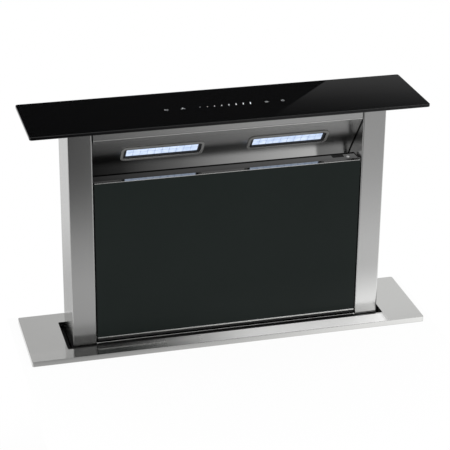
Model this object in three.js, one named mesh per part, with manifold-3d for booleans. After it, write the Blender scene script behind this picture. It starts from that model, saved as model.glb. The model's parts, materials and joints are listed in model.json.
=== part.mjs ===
// Pop-up downdraft extractor for a 60 cm worktop cut-out, drawn raised.
// Millimetres, +Z up, the cook stands at -Y. The origin is the middle of the chassis base,
// on the cabinet floor.
import * as THREE from 'three';
import { mergeVertices } from 'three/addons/utils/BufferGeometryUtils.js';
import Module from 'manifold-3d';

const wasm = await Module();
wasm.setup();

// ---- driving dimensions ------------------------------------------------------------------

// fits
const seatGap = 0.3;          // between pieces that are screwed, glued or riveted together
const slideGap = 0.3;         // each side of a slide shoe in its rail
const runningGap = 0.35;      // round a shaft or pin in its bore
const steelSheet = 1.2;       // visible folded stainless sheet
const chassisSheet = 1.5;     // galvanised sheet of the hidden chassis
const foldRadius = 2;         // outside radius of a sheet fold

// worktop flange
const worktopLevel = 660;     // cabinet floor to the worktop's upper surface
const flangeWidth = 620;
const flangeDepth = 147;
const flangeHeight = 8.5;
const flangeCorner = 3;
const slotSideGap = 9.5;      // between the tower and the slot at each end
const slotFaceGap = 3;        // and in front and behind
const slotLip = 6;            // turned-down edge of the slot
const gasketWidth = 8;

// rising tower
const rise = 350;             // flange top to the underside of the cap
const parkGap = 2;            // left under the cap when the tower is down
const towerWidth = 484;
const towerDepth = 81;
const postWidth = 36;
const postTail = 110;         // what stays below the flange when the tower is up
const capWidth = 600;
const capDepth = 139;
const capThickness = 5;
const capCorner = 4;
const capChamfer = 0.7;
const carrierPlate = 2;
const carrierLug = [44, 16];  // width and height of the lugs screwed inside the posts

// suction mouth and lamps
const fasciaDrop = 20;        // underside of the cap to the fold of the reflector
const sideShadowGap = 1.5;    // dark gap between the posts and what stands between them
const reflectorTilt = 52;     // degrees below the horizontal
const reflectorFlatRun = 52.5;
const reflectorCurve = 70;
const reflectorSkirt = 10;
const lampSpacing = 193;      // centre to centre
const lampAlongSlope = 44;    // fold of the reflector to the middle of a lamp
const bezelWidth = 125;
const bezelHeight = 36;
const bezelRim = 3;
const bezelThickness = 1.4;
const bezelCorner = 9;
const lensWidth = 109;
const lensHeight = 20;
const lensThickness = 3;
const lensRecess = 1;
const lampBodyDepth = 13;
const lampBodyWall = 1.6;
const touchBoxWidth = 232;
const touchBoxDepth = 34;
const touchBoxHeight = 13;

// tilting front panel
const sillLevel = 262;        // top of the glass above the flange
const sillDepth = 30;
const glassFoot = 5;          // bottom of the glass above the flange
const glassThickness = 4;
const glassRecess = 1;        // face of the glass behind the face of the posts
const panelReturn = 10;       // depth of the folded panel carrier
const panelPinRadius = 2.6;
const panelPinLength = 3.5;    // pin into the post
const panelPivotBack = 6.5;   // pivot behind the face of the posts
const panelPivotUp = 9;       // pivot above the flange
const skirtTop = 2.2;         // bright rail below the glass, above the flange
const skirtFold = 5;

// grease filters
const filterHeight = 218;
const filterThickness = 9;
const filterFrame = 9;
const filterWaves = 16;
const filterCoreSheet = 0.8;
const channelInset = 13;      // behind the face of the posts
const channelDepth = 16;
const channelHeight = 12;
const channelLift = 0.7;      // above the flange

// lift drive
const carriageHeight = 18;
const carriageAbove = 5.5;    // carriage above the foot of the posts
const hangerClear = 12;       // air windows clear of the posts and hangers
const bearingZone = 34;       // width of the carriage kept closed over a bearing
const shoeWidth = 25.4;
const shoeLength = 78;
const railFlange = 14;
const railSheet = 1.5;
const railFoot = 185;
const railHead = 641;
const rackModule = 2.5;
const pinionTeeth = 16;
const gearModule = 1.5;
const shaftGearTeeth = 24;
const motorPinionTeeth = 18;
const gearBacklash = 0.4;
const pressureAngle = 20 * Math.PI / 180;
const pinionWidth = 12;
const pinionInset = 42;       // middle of a pinion from the side of the tower
const rackBody = 4.8;
const rackMargin = 14;        // rack beyond the pinion's travel at each end
const shaftDrop = 25;         // shaft below the foot of the posts
const shaftRadius = 5;
const bearingWidth = 12;
const bearingHousing = 10;    // radius of the bearing block round the shaft
const gearBore = 5.3;
const shaftGearInset = 86;    // middle of the shaft gear from the inner side of the right post
const liftMotorRadius = 23;
const liftMotorLength = 92;
const liftGearboxLength = 24;

// chassis below the worktop
const guideSpace = 16;        // tower to chassis at each end, where the rails stand
const towerSpace = 11.5;      // tower to chassis in front and behind
const chassisFlange = 12;
const swageDepth = 2;
const swageLow = 110;
const swageHigh = 600;
const swageMargin = 40;       // swage from each end of the panel
const baseUpstand = 18;
const sealHeight = 4;
const sealClearance = 0.8;
const sealFrameDrop = 8.5;    // frame of the wiper seal below the worktop surface
const footWidth = 26;
const footReach = 176;        // front end of a foot from the middle of the chassis
const footSheet = 3;
const footUpstand = 46;
const footSlot = [7, 18];     // screw slots in the feet
const clampReach = 28;
const clampHeight = 56;
const clampSheet = 2.5;
const clampHalf = 18;
const jackScrewRadius = 3;
const jackScrewLength = 34;
const jackPadRadius = 8;
const worktopThickness = 40;  // thickest worktop that the clamps take in this position

// blower
const blowerX = -42;
const blowerZ = 188;
const impellerRadius = 68;
const impellerBore = 54;      // inner radius of the blade ring
const impellerWidth = 72;
const impellerBlades = 22;
const impellerPlate = 2;
const impellerHub = 18;       // radius of the hub and how far its plate stands inside the housing
const impellerHubBore = 7.4;
const impellerRing = 3;
const scrollStart = 78;       // radius at the tongue
const scrollGrowth = 72;      // what the radius gains on the way round
const scrollTongue = -50;     // degrees, the tongue's place seen from the front
const scrollDepth = 98;
const scrollWall = 2.2;
const scrollMouth = 92;       // x of the housing's outlet face
const inletRadius = 50;
const inletFlare = 8;
const inletSheet = 1.4;
const motorRadius = 44;
const motorLength = 62;
const motorFins = 10;

// outlet
const ductRadius = 62.5;
const ductWall = 1.8;
const ductFlangeWidth = 9;
const ductClearance = 2;      // round flange to the chassis front
const ductLift = 8;           // axis of the duct above the middle of the housing's mouth
const adapterLength = 62;
const collarLength = 62;
const flapThickness = 1.4;
const flapClearance = 1.3;
const flapPinRadius = 1.5;
const knuckleRadius = 3.2;
const knuckleLength = 14;

// electrics
const controlWidth = 176;
const controlHeight = 118;
const controlDepth = 42;
const controlWall = 2;
const controlX = -156;
const ventSize = [46, 3.2];
const ventPitch = 9;
const controlZ = 398;
const glandRadius = 10;
const glandBore = 4.5;
const glandInset = 50;        // gland from the middle of the control box

// ---- levels and places worked out from them -------------------------------------------------

const flangeTop = worktopLevel + flangeHeight;
const capUnder = flangeTop + rise;
const slotWidth = towerWidth + 2 * slotSideGap;
const slotDepth = towerDepth + 2 * slotFaceGap;
const chassisInnerWidth = towerWidth + 2 * guideSpace;
const chassisInnerDepth = towerDepth + 2 * towerSpace;
const liftTravel = rise - parkGap;
const postTop = capUnder - seatGap - carrierPlate - seatGap;
const postFoot = flangeTop - postTail;
const frontFace = -towerDepth / 2;
const backFace = towerDepth / 2;
const innerHalf = towerWidth / 2 - postWidth;        // middle to the inner side of a post
const betweenHalf = innerHalf - seatGap;             // half length of what ties the posts
const shaftGearPlace = innerHalf - shaftGearInset;
const panelHalf = innerHalf - sideShadowGap;
const foldLevel = capUnder - fasciaDrop;
const slope = reflectorTilt * Math.PI / 180;
const carriageFoot = postFoot + carriageAbove;
const shaftZ = postFoot - shaftDrop;
const pinionRadius = rackModule * pinionTeeth / 2;
const wallInside = chassisInnerDepth / 2;
const sideInside = chassisInnerWidth / 2;
const frontInside = wallInside + seatGap;            // front and back panels lie on the flanges
const frontOutside = frontInside + chassisSheet;
const rackBack = frontInside - seatGap;
const rackPitchLine = rackBack - rackBody - 1.25 * rackModule;
const shaftY = rackPitchLine - pinionRadius;
const shaftGearRadius = gearModule * shaftGearTeeth / 2;
const motorPinionRadius = gearModule * motorPinionTeeth / 2;
const motorShaftY = shaftY - shaftGearRadius - motorPinionRadius;
const chassisTop = flangeTop - chassisSheet - seatGap;
const pinionX = towerWidth / 2 - pinionInset;
const panelPivot = [frontFace + panelPivotBack, flangeTop + panelPivotUp];
const channelFront = frontFace + channelInset;
const channelFoot = flangeTop + channelLift;
const channelMiddle = channelFront + channelDepth / 2;
const reflectorBack = frontFace + reflectorFlatRun + reflectorCurve * (1 - Math.sin(slope));
// the filters stand in the channel and lean back on the foot of the reflector
const filterReach = reflectorBack - seatGap - channelMiddle;
const filterLean = Math.asin(filterReach / Math.hypot(filterHeight, filterThickness / 2))
  - Math.atan2(filterThickness / 2, filterHeight);

// ---- drawing helpers ------------------------------------------------------------------------

const add = (a, b, k = 1) => [a[0] + b[0] * k, a[1] + b[1] * k];
const sub = (a, b) => [a[0] - b[0], a[1] - b[1]];
const dot = (a, b) => a[0] * b[0] + a[1] * b[1];
const unit = (a) => [a[0] / Math.hypot(...a), a[1] / Math.hypot(...a)];
const polar = (radius, angle, centre = [0, 0]) => [
  centre[0] + radius * Math.cos(angle),
  centre[1] + radius * Math.sin(angle),
];

function circle(radius, steps, centre = [0, 0]) {
  return Array.from({ length: steps }, (_, i) => polar(radius, i * 2 * Math.PI / steps, centre));
}

function roundedRectangle(width, height, corner, centre = [0, 0], steps = 3) {
  const points = [];
  for (let quarter = 0; quarter < 4; quarter++) {
    const sideX = quarter === 0 || quarter === 3 ? 1 : -1;
    const sideY = quarter < 2 ? 1 : -1;
    const middle = [
      centre[0] + sideX * (width / 2 - corner),
      centre[1] + sideY * (height / 2 - corner),
    ];
    for (let i = 0; i <= steps; i++) {
      points.push(polar(corner, (quarter + i / steps) * Math.PI / 2, middle));
    }
  }
  return points;
}

const rectangle = (x0, x1, y0, y1) => [[x0, y0], [x1, y0], [x1, y1], [x0, y1]];

// Rounds the corners of an open path.
function bend(points, radius = foldRadius, steps = 3) {
  const path = [points[0]];
  for (let i = 1; i < points.length - 1; i++) {
    const before = unit(sub(points[i - 1], points[i]));
    const after = unit(sub(points[i + 1], points[i]));
    const half = Math.acos(dot(before, after)) / 2;
    const centre = add(points[i], unit(add(before, after)), radius / Math.sin(half));
    const start = sub(add(points[i], before, radius / Math.tan(half)), centre);
    const end = sub(add(points[i], after, radius / Math.tan(half)), centre);
    const from = Math.atan2(start[1], start[0]);
    let turn = Math.atan2(end[1], end[0]) - from;
    if (turn > Math.PI) turn -= 2 * Math.PI;
    if (turn < -Math.PI) turn += 2 * Math.PI;
    for (let k = 0; k <= steps; k++) path.push(polar(radius, from + turn * k / steps, centre));
  }
  path.push(points[points.length - 1]);
  return path;
}

// Outline of a folded sheet: the path is one face, the thickness lies to its left.
function sheet(path, thickness) {
  const other = path.map((point, i) => {
    const into = i > 0 ? unit(sub(point, path[i - 1])) : unit(sub(path[1], path[0]));
    const out = i < path.length - 1 ? unit(sub(path[i + 1], point)) : into;
    const sum = add([-into[1], into[0]], [-out[1], out[0]]);
    return add(point, sum, thickness / (1 + dot(into, out)));
  });
  return [...path, ...other.reverse()];
}

function extrude(outline, depth, holes = []) {
  const shape = new THREE.Shape(outline.map((p) => new THREE.Vector2(...p)));
  for (const hole of holes) shape.holes.push(new THREE.Path(hole.map((p) => new THREE.Vector2(...p))));
  return new THREE.ExtrudeGeometry(shape, { depth, bevelEnabled: false });
}

// Outline in [y, z], swept along X.
function alongX(outline, x0, x1, holes = []) {
  const matrix = new THREE.Matrix4().set(0, 0, 1, x0, 1, 0, 0, 0, 0, 1, 0, 0, 0, 0, 0, 1);
  return extrude(outline, x1 - x0, holes).applyMatrix4(matrix);
}

// Outline in [x, z], swept along Y.
function alongY(outline, y0, y1, holes = []) {
  const matrix = new THREE.Matrix4().set(1, 0, 0, 0, 0, 0, -1, y1, 0, 1, 0, 0, 0, 0, 0, 1);
  return extrude(outline, y1 - y0, holes).applyMatrix4(matrix);
}

// Outline in [x, y], swept along Z.
function alongZ(outline, z0, z1, holes = []) {
  return extrude(outline, z1 - z0, holes).translate(0, 0, z0);
}

function block(x0, x1, y0, y1, z0, z1) {
  return new THREE.BoxGeometry(x1 - x0, y1 - y0, z1 - z0)
    .translate((x0 + x1) / 2, (y0 + y1) / 2, (z0 + z1) / 2);
}

const rod = (radius, x0, x1, y, z, steps = 24) => alongX(circle(radius, steps, [y, z]), x0, x1);

// Revolves a closed profile of [radius, height] about Z; it runs anticlockwise, whichever way it is given.
function revolve(profile, steps) {
  const area = profile.reduce((sum, [r, h], i) => {
    const [nextR, nextH] = profile[(i + 1) % profile.length];
    return sum + r * nextH - nextR * h;
  }, 0);
  const ordered = area > 0 ? profile : [...profile].reverse();
  const closed = [...ordered, ordered[0]].map(([r, h]) => new THREE.Vector2(r, h));
  return new THREE.LatheGeometry(closed, steps).rotateX(Math.PI / 2);
}

function toSolid(geometry) {
  const plain = geometry.clone();
  plain.deleteAttribute('normal');
  plain.deleteAttribute('uv');
  const merged = mergeVertices(plain, 1e-4);
  const corners = [];
  for (let i = 0; i < merged.index.count; i += 3) {
    const [a, b, c] = [0, 1, 2].map((k) => merged.index.getX(i + k));
    if (a !== b && b !== c && c !== a) corners.push(a, b, c);
  }
  return new wasm.Manifold(new wasm.Mesh({
    numProp: 3,
    vertProperties: new Float32Array(merged.attributes.position.array),
    triVerts: new Uint32Array(corners),
  }));
}

function toGeometry(solid) {
  const mesh = solid.getMesh();
  const geometry = new THREE.BufferGeometry();
  geometry.setAttribute('position', new THREE.BufferAttribute(new Float32Array(mesh.vertProperties), 3));
  geometry.setIndex(new THREE.BufferAttribute(new Uint32Array(mesh.triVerts), 1));
  return geometry;
}

const join = (...parts) => toGeometry(parts.map(toSolid).reduce((a, b) => a.add(b)));
const cut = (body, ...tools) =>
  toGeometry(tools.map(toSolid).reduce((a, b) => a.subtract(b), toSolid(body)));
const mirrored = (x0, x1, side) => (side > 0 ? [x0, x1] : [-x1, -x0]);

// ---- finishes and scene -----------------------------------------------------------------------

const finish = (color, roughness, metalness) =>
  new THREE.MeshStandardMaterial({ color, roughness, metalness });
const brushedSteel = finish(0xb4b5b3, 0.35, 1);
const galvanised = finish(0xa9adb0, 0.55, 1);
const blackGlass = finish(0x08090a, 0.05, 0);
const tintedGlass = finish(0x222625, 0.08, 0);
const blackPlastic = finish(0x17181a, 0.5, 0);
const rubber = finish(0x101010, 0.85, 0);
const aluminium = finish(0xc8cacc, 0.4, 1);
const nylon = finish(0xe6e3da, 0.45, 0);
const diffuser = finish(0xdfe8ff, 0.3, 0);
const shaftSteel = finish(0xd0d2d4, 0.2, 1);

const extractor = new THREE.Group();

function place(name, geometry, material, parent = extractor) {
  const mesh = new THREE.Mesh(geometry, material);
  mesh.name = name;
  parent.add(mesh);
  return mesh;
}

const sides = [['left', -1], ['right', 1]];

// ---- worktop flange ---------------------------------------------------------------------------

function makeFlange() {
  const plate = alongZ(
    roundedRectangle(flangeWidth, flangeDepth, flangeCorner),
    worktopLevel, flangeTop,
    [roundedRectangle(slotWidth, slotDepth, 1.5)],
  );
  const under = flangeTop - chassisSheet;
  const wall = 2 * chassisSheet;
  const tray = alongZ(
    roundedRectangle(flangeWidth - wall, flangeDepth - wall, flangeCorner - chassisSheet),
    worktopLevel - 1, under,
    [roundedRectangle(slotWidth + wall, slotDepth + wall, 3)],
  );
  const lipCut = alongZ(
    roundedRectangle(slotWidth + 2 * wall, slotDepth + 2 * wall, 4.5),
    worktopLevel - 1, flangeTop - slotLip,
  );
  return cut(plate, tray, lipCut);
}

function makeGasket() {
  const outerWidth = flangeWidth - 2 * chassisSheet - 2 * seatGap;
  const outerDepth = flangeDepth - 2 * chassisSheet - 2 * seatGap;
  return alongZ(
    roundedRectangle(outerWidth, outerDepth, 1),
    worktopLevel, flangeTop - chassisSheet - seatGap,
    [roundedRectangle(outerWidth - 2 * gasketWidth, outerDepth - 2 * gasketWidth, 1)],
  );
}

// ---- chassis ------------------------------------------------------------------------------------

function makeChassisSide(side) {
  // a shallow channel, its flanges turned inwards
  const path = [
    [sideInside - chassisFlange, -wallInside],
    [sideInside + chassisSheet, -wallInside],
    [sideInside + chassisSheet, wallInside],
    [sideInside - chassisFlange, wallInside],
  ];
  const outline = sheet(bend(path), chassisSheet).map(([x, y]) => [side * x, y]);
  return alongZ(outline, 0, chassisTop);
}

function makeChassisBack() {
  const half = sideInside + chassisSheet;
  const panel = alongY(rectangle(-half, half, 0, chassisTop), frontInside, frontOutside);
  // pressed stiffening swages, proud at the back and hollow inside
  const swage = (z, face, slack) => alongX(
    [[face - slack, z - 7], [face + swageDepth, z - 4], [face + swageDepth, z + 4], [face - slack, z + 7]],
    -half + swageMargin + slack, half - swageMargin - slack,
  );
  const places = [swageLow, swageHigh];
  const proud = join(panel, ...places.map((z) => swage(z, frontOutside, 0.5)));
  return cut(proud, ...places.map((z) => swage(z, frontInside, 1)));
}

function makeChassisFront() {
  const half = sideInside + chassisSheet;
  return alongY(
    rectangle(-half, half, 0, chassisTop),
    -frontOutside, -frontInside,
    [circle(inletRadius + inletFlare + 4, 32, [blowerX, blowerZ])],
  );
}

function makeChassisBase() {
  const width = chassisInnerWidth - 2 * seatGap;
  const depth = chassisInnerDepth - 2 * chassisSheet - 2 * seatGap;
  const tray = alongZ(roundedRectangle(width, depth, 2), 0, baseUpstand);
  const inside = roundedRectangle(width - 2 * chassisSheet, depth - 2 * chassisSheet, 1);
  return cut(tray, alongZ(inside, chassisSheet, baseUpstand + 1));
}

function makeSealFrame() {
  const width = chassisInnerWidth - 2 * seatGap;
  const depth = chassisInnerDepth - 2 * chassisSheet - 2 * seatGap;
  const foot = worktopLevel - sealFrameDrop;
  const hole = roundedRectangle(towerWidth + 8, towerDepth + 4, 2);
  const tray = alongZ(roundedRectangle(width, depth, 2), foot - 8, foot, [hole]);
  const turned = roundedRectangle(width - 2 * chassisSheet, depth - 2 * chassisSheet, 1);
  return cut(tray, alongZ(turned, foot - 9, foot - chassisSheet));
}

function makeThroatSeal() {
  const width = chassisInnerWidth - 2 * seatGap - 2;
  const depth = chassisInnerDepth - 2 * chassisSheet - 2 * seatGap - 2;
  const foot = worktopLevel - sealFrameDrop + seatGap;
  return alongZ(
    roundedRectangle(width, depth, 2), foot, foot + sealHeight,
    [roundedRectangle(towerWidth + 2 * sealClearance, towerDepth + 2 * sealClearance, 2)],
  );
}

function makeFoot(side) {
  // angle iron along the chassis side, reaching forward under the blower
  const inner = sideInside + chassisSheet + seatGap;
  const path = [[inner, footUpstand], [inner, 0], [inner + footWidth, 0]];
  const angle = sheet(bend(path, footSheet + 1), footSheet).map(([x, z]) => [side * x, z]);
  const body = alongY(angle, -footReach, frontOutside);
  const rear = -frontOutside - 12;
  const relief = [
    [-footReach - 1, footSheet + 8], [-footReach + 20, footSheet + 8],
    [rear, footUpstand + 1], [-footReach - 1, footUpstand + 1],
  ];
  const across = mirrored(inner - 1, inner + footSheet + 1, side);
  const slotPlace = side * (inner + footWidth / 2 + 2);
  const slots = [-footReach + 22, frontOutside - 24].map((y) =>
    alongZ(roundedRectangle(...footSlot, footSlot[0] / 2 - 0.1, [slotPlace, y]), -1, footSheet + 1));
  return cut(body, alongX(relief, ...across), ...slots);
}

function makeClamp(side) {
  // bracket screwed to the chassis side, with the jack screw that pulls the flange down
  const inner = sideInside + chassisSheet + seatGap;
  const padTop = worktopLevel - worktopThickness - seatGap;
  const shelf = padTop - jackScrewLength + 10;
  const path = [[inner, shelf - clampHeight], [inner, shelf], [inner + clampReach, shelf]];
  const angle = sheet(bend(path, 3), -clampSheet).map(([x, z]) => [side * x, z]);
  const bracket = alongY(angle, -clampHalf, clampHalf);
  const screwX = side * (inner + clampReach - 10);
  const screw = alongZ(circle(jackScrewRadius, 12, [screwX, 0]), padTop - jackScrewLength, padTop - 1);
  const pad = alongZ(circle(jackPadRadius, 16, [screwX, 0]), padTop - jackScrewRadius, padTop);
  return join(bracket, screw, pad);
}

// ---- guides and racks ---------------------------------------------------------------------------

function makeRail(side) {
  const web = sideInside - seatGap;
  const half = shoeWidth / 2 + slideGap + railSheet;
  const path = [[web - railFlange, -half], [web, -half], [web, half], [web - railFlange, half]];
  const outline = sheet(bend(path, 2.2), railSheet).map(([x, y]) => [side * x, y]);
  return alongZ(outline, railFoot, railHead);
}

function makeShoe(side) {
  const inner = towerWidth / 2 + seatGap;
  const outer = sideInside - seatGap - railSheet - slideGap;
  const foot = postFoot + 3;
  const body = alongZ(
    rectangle(...mirrored(inner, outer, side), -shoeWidth / 2, shoeWidth / 2),
    foot, foot + shoeLength,
  );
  // grease grooves on the running face
  const groove = (z) => block(...mirrored(outer - 1, outer + 1, side), -shoeWidth, shoeWidth, z, z + 3);
  return cut(body, groove(foot + 14), groove(foot + shoeLength / 2), groove(foot + shoeLength - 17));
}

function rackOutline() {
  const pitch = Math.PI * rackModule;
  const low = shaftZ - liftTravel - rackMargin;
  const high = shaftZ + rackMargin;
  const below = Math.floor((shaftZ - low) / pitch);
  const above = Math.floor((high - shaftZ) / pitch);
  const tip = rackPitchLine - rackModule;
  const root = rackPitchLine + 1.25 * rackModule;
  const half = pitch / 4 - gearBacklash / 4;
  const tipHalf = half - rackModule * Math.tan(pressureAngle);
  const rootHalf = half + 1.25 * rackModule * Math.tan(pressureAngle);
  const points = [[rackBack, low - 2], [rackBack, high + 2], [root, high + 2]];
  for (let k = above - 1; k >= -below; k--) {
    const middle = shaftZ + (k + 0.5) * pitch;
    points.push([root, middle + rootHalf], [tip, middle + tipHalf]);
    points.push([tip, middle - tipHalf], [root, middle - rootHalf]);
  }
  points.push([root, low - 2]);
  return points;
}

function makeRack(side) {
  const half = pinionWidth / 2 + 0.5;
  return alongX(rackOutline(), side * pinionX - half, side * pinionX + half);
}

// Involute spur gear outline with a tooth on the +Y side, turned by a phase.
function gearOutline(teeth, module, centre, phase = 0) {
  const pitch = teeth * module / 2;
  const base = pitch * Math.cos(pressureAngle);
  const tip = pitch + module;
  const root = pitch - 1.25 * module;
  const involute = (radius) => Math.sqrt((radius / base) ** 2 - 1) - Math.acos(base / radius);
  const atPitch = (Math.PI * module - gearBacklash) / 2 / (2 * pitch) + involute(pitch);
  const flank = [0.3, 1].map((t) => {
    const radius = Math.max(base, root) + t * (tip - Math.max(base, root));
    return [radius, atPitch - involute(radius)];
  });
  flank.unshift([root, atPitch]);
  const points = [];
  for (let k = 0; k < teeth; k++) {
    const middle = phase + k * 2 * Math.PI / teeth;
    for (const [radius, half] of flank) points.push(polar(radius, middle - half, centre));
    for (const [radius, half] of [...flank].reverse()) points.push(polar(radius, middle + half, centre));
  }
  return points;
}

// ---- lift drive on the tower ----------------------------------------------------------------------

function makeCarriage() {
  const top = carriageFoot + carriageHeight;
  const half = [betweenHalf, backFace - steelSheet - seatGap];
  const tray = alongZ(roundedRectangle(2 * half[0], 2 * half[1], 2), carriageFoot, top);
  const hollow = alongZ(
    roundedRectangle(2 * half[0] - 4 * steelSheet, 2 * half[1] - 4 * steelSheet, 1),
    carriageFoot - 1, top - 2 * steelSheet,
  );
  // air windows between the bearing, motor and gear hangers
  const gearbox = shaftGearPlace - pinionWidth / 2 - liftGearboxLength;
  const canEnd = gearbox - liftMotorLength;
  const spans = [
    [hangerClear + bearingZone - innerHalf, canEnd - hangerClear],
    [canEnd, gearbox - hangerClear],
    [shaftGearPlace + hangerClear, innerHalf - bearingZone - hangerClear],
  ];
  const windows = spans.map(([from, to]) => alongZ(
    roundedRectangle(to - from, 2 * (half[1] - hangerClear), 4, [(from + to) / 2, 0]), top - 4, top + 1));
  return cut(tray, hollow, ...windows);
}

function makeBearing(side) {
  const middle = side * (pinionX - pinionWidth / 2 - 4 - bearingWidth / 2);
  const top = carriageFoot + carriageHeight - 2 * steelSheet - seatGap;
  const bore = shaftRadius + runningGap;
  const back = backFace - 3 * steelSheet - 2 * seatGap;
  const shoulder = carriageFoot - seatGap;
  const outline = [
    [shaftY + bearingHousing, shoulder], [back, shoulder], [back, top],
    [shaftY - bearingHousing - 14, top], [shaftY - bearingHousing - 14, top - 12],
  ];
  for (let i = 0; i <= 10; i++) {
    outline.push(polar(bearingHousing, Math.PI + i * Math.PI / 10, [shaftY, shaftZ]));
  }
  return alongX(
    outline, middle - bearingWidth / 2, middle + bearingWidth / 2,
    [circle(bore / Math.cos(Math.PI / 20), 20, [shaftY, shaftZ])],
  );
}

function makeDriveShaft() {
  const reach = pinionX + pinionWidth / 2 + 3;
  return rod(shaftRadius, -reach, reach, shaftY, shaftZ, 16);
}

function makePinion(side) {
  const middle = side * pinionX;
  const bore = circle(gearBore, 16, [shaftY, shaftZ]);
  return alongX(
    gearOutline(pinionTeeth, rackModule, [shaftY, shaftZ]),
    middle - pinionWidth / 2, middle + pinionWidth / 2, [bore],
  );
}

function makeShaftGear() {
  const bore = circle(gearBore, 16, [shaftY, shaftZ]);
  return alongX(
    gearOutline(shaftGearTeeth, gearModule, [shaftY, shaftZ]),
    shaftGearPlace - pinionWidth / 2, shaftGearPlace + pinionWidth / 2, [bore],
  );
}

function makeMotorPinion() {
  const phase = Math.PI / motorPinionTeeth;
  const bore = circle(4.3, 16, [motorShaftY, shaftZ]);
  return alongX(
    gearOutline(motorPinionTeeth, gearModule, [motorShaftY, shaftZ], phase),
    shaftGearPlace - pinionWidth / 2, shaftGearPlace + pinionWidth / 2, [bore],
  );
}

function makeLiftMotor() {
  const gearboxFace = shaftGearPlace - pinionWidth / 2 - 4;
  const gearboxBack = gearboxFace - liftGearboxLength;
  const canEnd = gearboxBack - liftMotorLength;
  const top = carriageFoot + carriageHeight - 2 * steelSheet - seatGap;
  const gearbox = alongX(
    roundedRectangle(2 * liftMotorRadius, 2 * liftMotorRadius, 6, [motorShaftY, shaftZ]),
    gearboxBack, gearboxFace,
  );
  const can = rod(liftMotorRadius - 2, canEnd, gearboxBack + 1, motorShaftY, shaftZ, 28);
  const endCap = rod(liftMotorRadius - 7, canEnd - 5, canEnd + 1, motorShaftY, shaftZ, 20);
  const hanger = block(gearboxBack + 4, gearboxBack + 16, motorShaftY - 16, motorShaftY + 16, shaftZ, top);
  const output = rod(4, gearboxFace - 1, shaftGearPlace + pinionWidth / 2 + 1, motorShaftY, shaftZ, 12);
  return join(gearbox, can, endCap, hanger, output);
}

// ---- tower skin ---------------------------------------------------------------------------------

function makePost(side) {
  const middle = side * (towerWidth - postWidth) / 2;
  const inside = [postWidth - 2 * steelSheet, towerDepth - 2 * steelSheet];
  const tube = alongZ(
    roundedRectangle(postWidth, towerDepth, foldRadius, [middle, 0]), postFoot, postTop,
    [roundedRectangle(...inside, foldRadius - steelSheet, [middle, 0])],
  );
  const pivot = circle(panelPinRadius + runningGap, 16, panelPivot);
  return cut(tube, alongX(pivot, ...mirrored(innerHalf - 1, innerHalf + steelSheet + 1, side)));
}

function makeTowerBack() {
  const edge = backFace - 9;
  const path = [
    [-betweenHalf, edge], [-betweenHalf, backFace], [betweenHalf, backFace], [betweenHalf, edge],
  ];
  return alongZ(sheet([...bend(path)].reverse(), steelSheet), carriageFoot + carriageHeight + 1, postTop);
}

function makeSkirt() {
  const edge = frontFace + skirtFold;
  const top = flangeTop + skirtTop;
  const path = [[edge, top], [frontFace, top], [frontFace, carriageFoot]];
  return alongX(sheet(bend(path), steelSheet), -betweenHalf, betweenHalf);
}

function makeFilterChannel() {
  // trough that the feet of the filters stand in
  const path = [
    [channelFront, channelFoot + 4], [channelFront, channelFoot],
    [channelFront + channelDepth, channelFoot], [channelFront + channelDepth, channelFoot + channelHeight],
  ];
  return alongX(sheet(bend(path, 1.6), steelSheet), -betweenHalf, betweenHalf);
}

function makeCapCarrier() {
  const top = capUnder - seatGap;
  const half = [towerWidth / 2 - 1, towerDepth / 2 - 1];
  const plate = alongZ(
    roundedRectangle(2 * half[0], 2 * half[1], 2), top - carrierPlate, top,
    [roundedRectangle(touchBoxWidth + 2 * seatGap, touchBoxDepth + 2 * seatGap, 1.5)],
  );
  const lugs = [-1, 1].map((side) => block(
    ...mirrored(betweenHalf - carrierPlate, betweenHalf, side), -carrierLug[0] / 2, carrierLug[0] / 2,
    top - carrierLug[1], top - carrierPlate / 2));
  return join(plate, ...lugs);
}

function makeCap() {
  const top = capUnder + capThickness;
  const slab = alongZ(capOutline(0), capUnder, top - capChamfer);
  // a polished arris round the upper edge, drawn as a tapered band between two outlines
  const bevel = loft([
    capOutline(0).map((p) => [...p, top - capChamfer]),
    capOutline(capChamfer).map((p) => [...p, top]),
  ]);
  return join(slab, bevel);
}

const capOutline = (inset) =>
  roundedRectangle(capWidth - 2 * inset, capDepth - 2 * inset, capCorner - inset, [0, 0], 3);

// Closed skin through rings of equal point counts, capped at both ends.
function loft(rings) {
  const count = rings[0].length;
  const positions = rings.flat(2);
  const index = [];
  for (let r = 0; r < rings.length - 1; r++) {
    for (let i = 0; i < count; i++) {
      const a = r * count + i;
      const b = r * count + (i + 1) % count;
      index.push(a, b, b + count, a, b + count, a + count);
    }
  }
  const last = (rings.length - 1) * count;
  for (let i = 1; i < count - 1; i++) {
    index.push(0, i + 1, i);
    index.push(last, last + i, last + i + 1);
  }
  const geometry = new THREE.BufferGeometry();
  geometry.setAttribute('position', new THREE.Float32BufferAttribute(positions, 3));
  geometry.setIndex(index);
  return geometry;
}

function makeTouchControl() {
  const top = capUnder - seatGap;
  const tray = alongZ(roundedRectangle(touchBoxWidth, touchBoxDepth, 1.5), top - touchBoxHeight, top);
  const plug = block(touchBoxWidth / 2 - 30, touchBoxWidth / 2 - 12, -6, 6,
    top - touchBoxHeight - 5, top - touchBoxHeight + 1);
  return join(tray, plug);
}

// ---- lamp reflector -------------------------------------------------------------------------------

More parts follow.
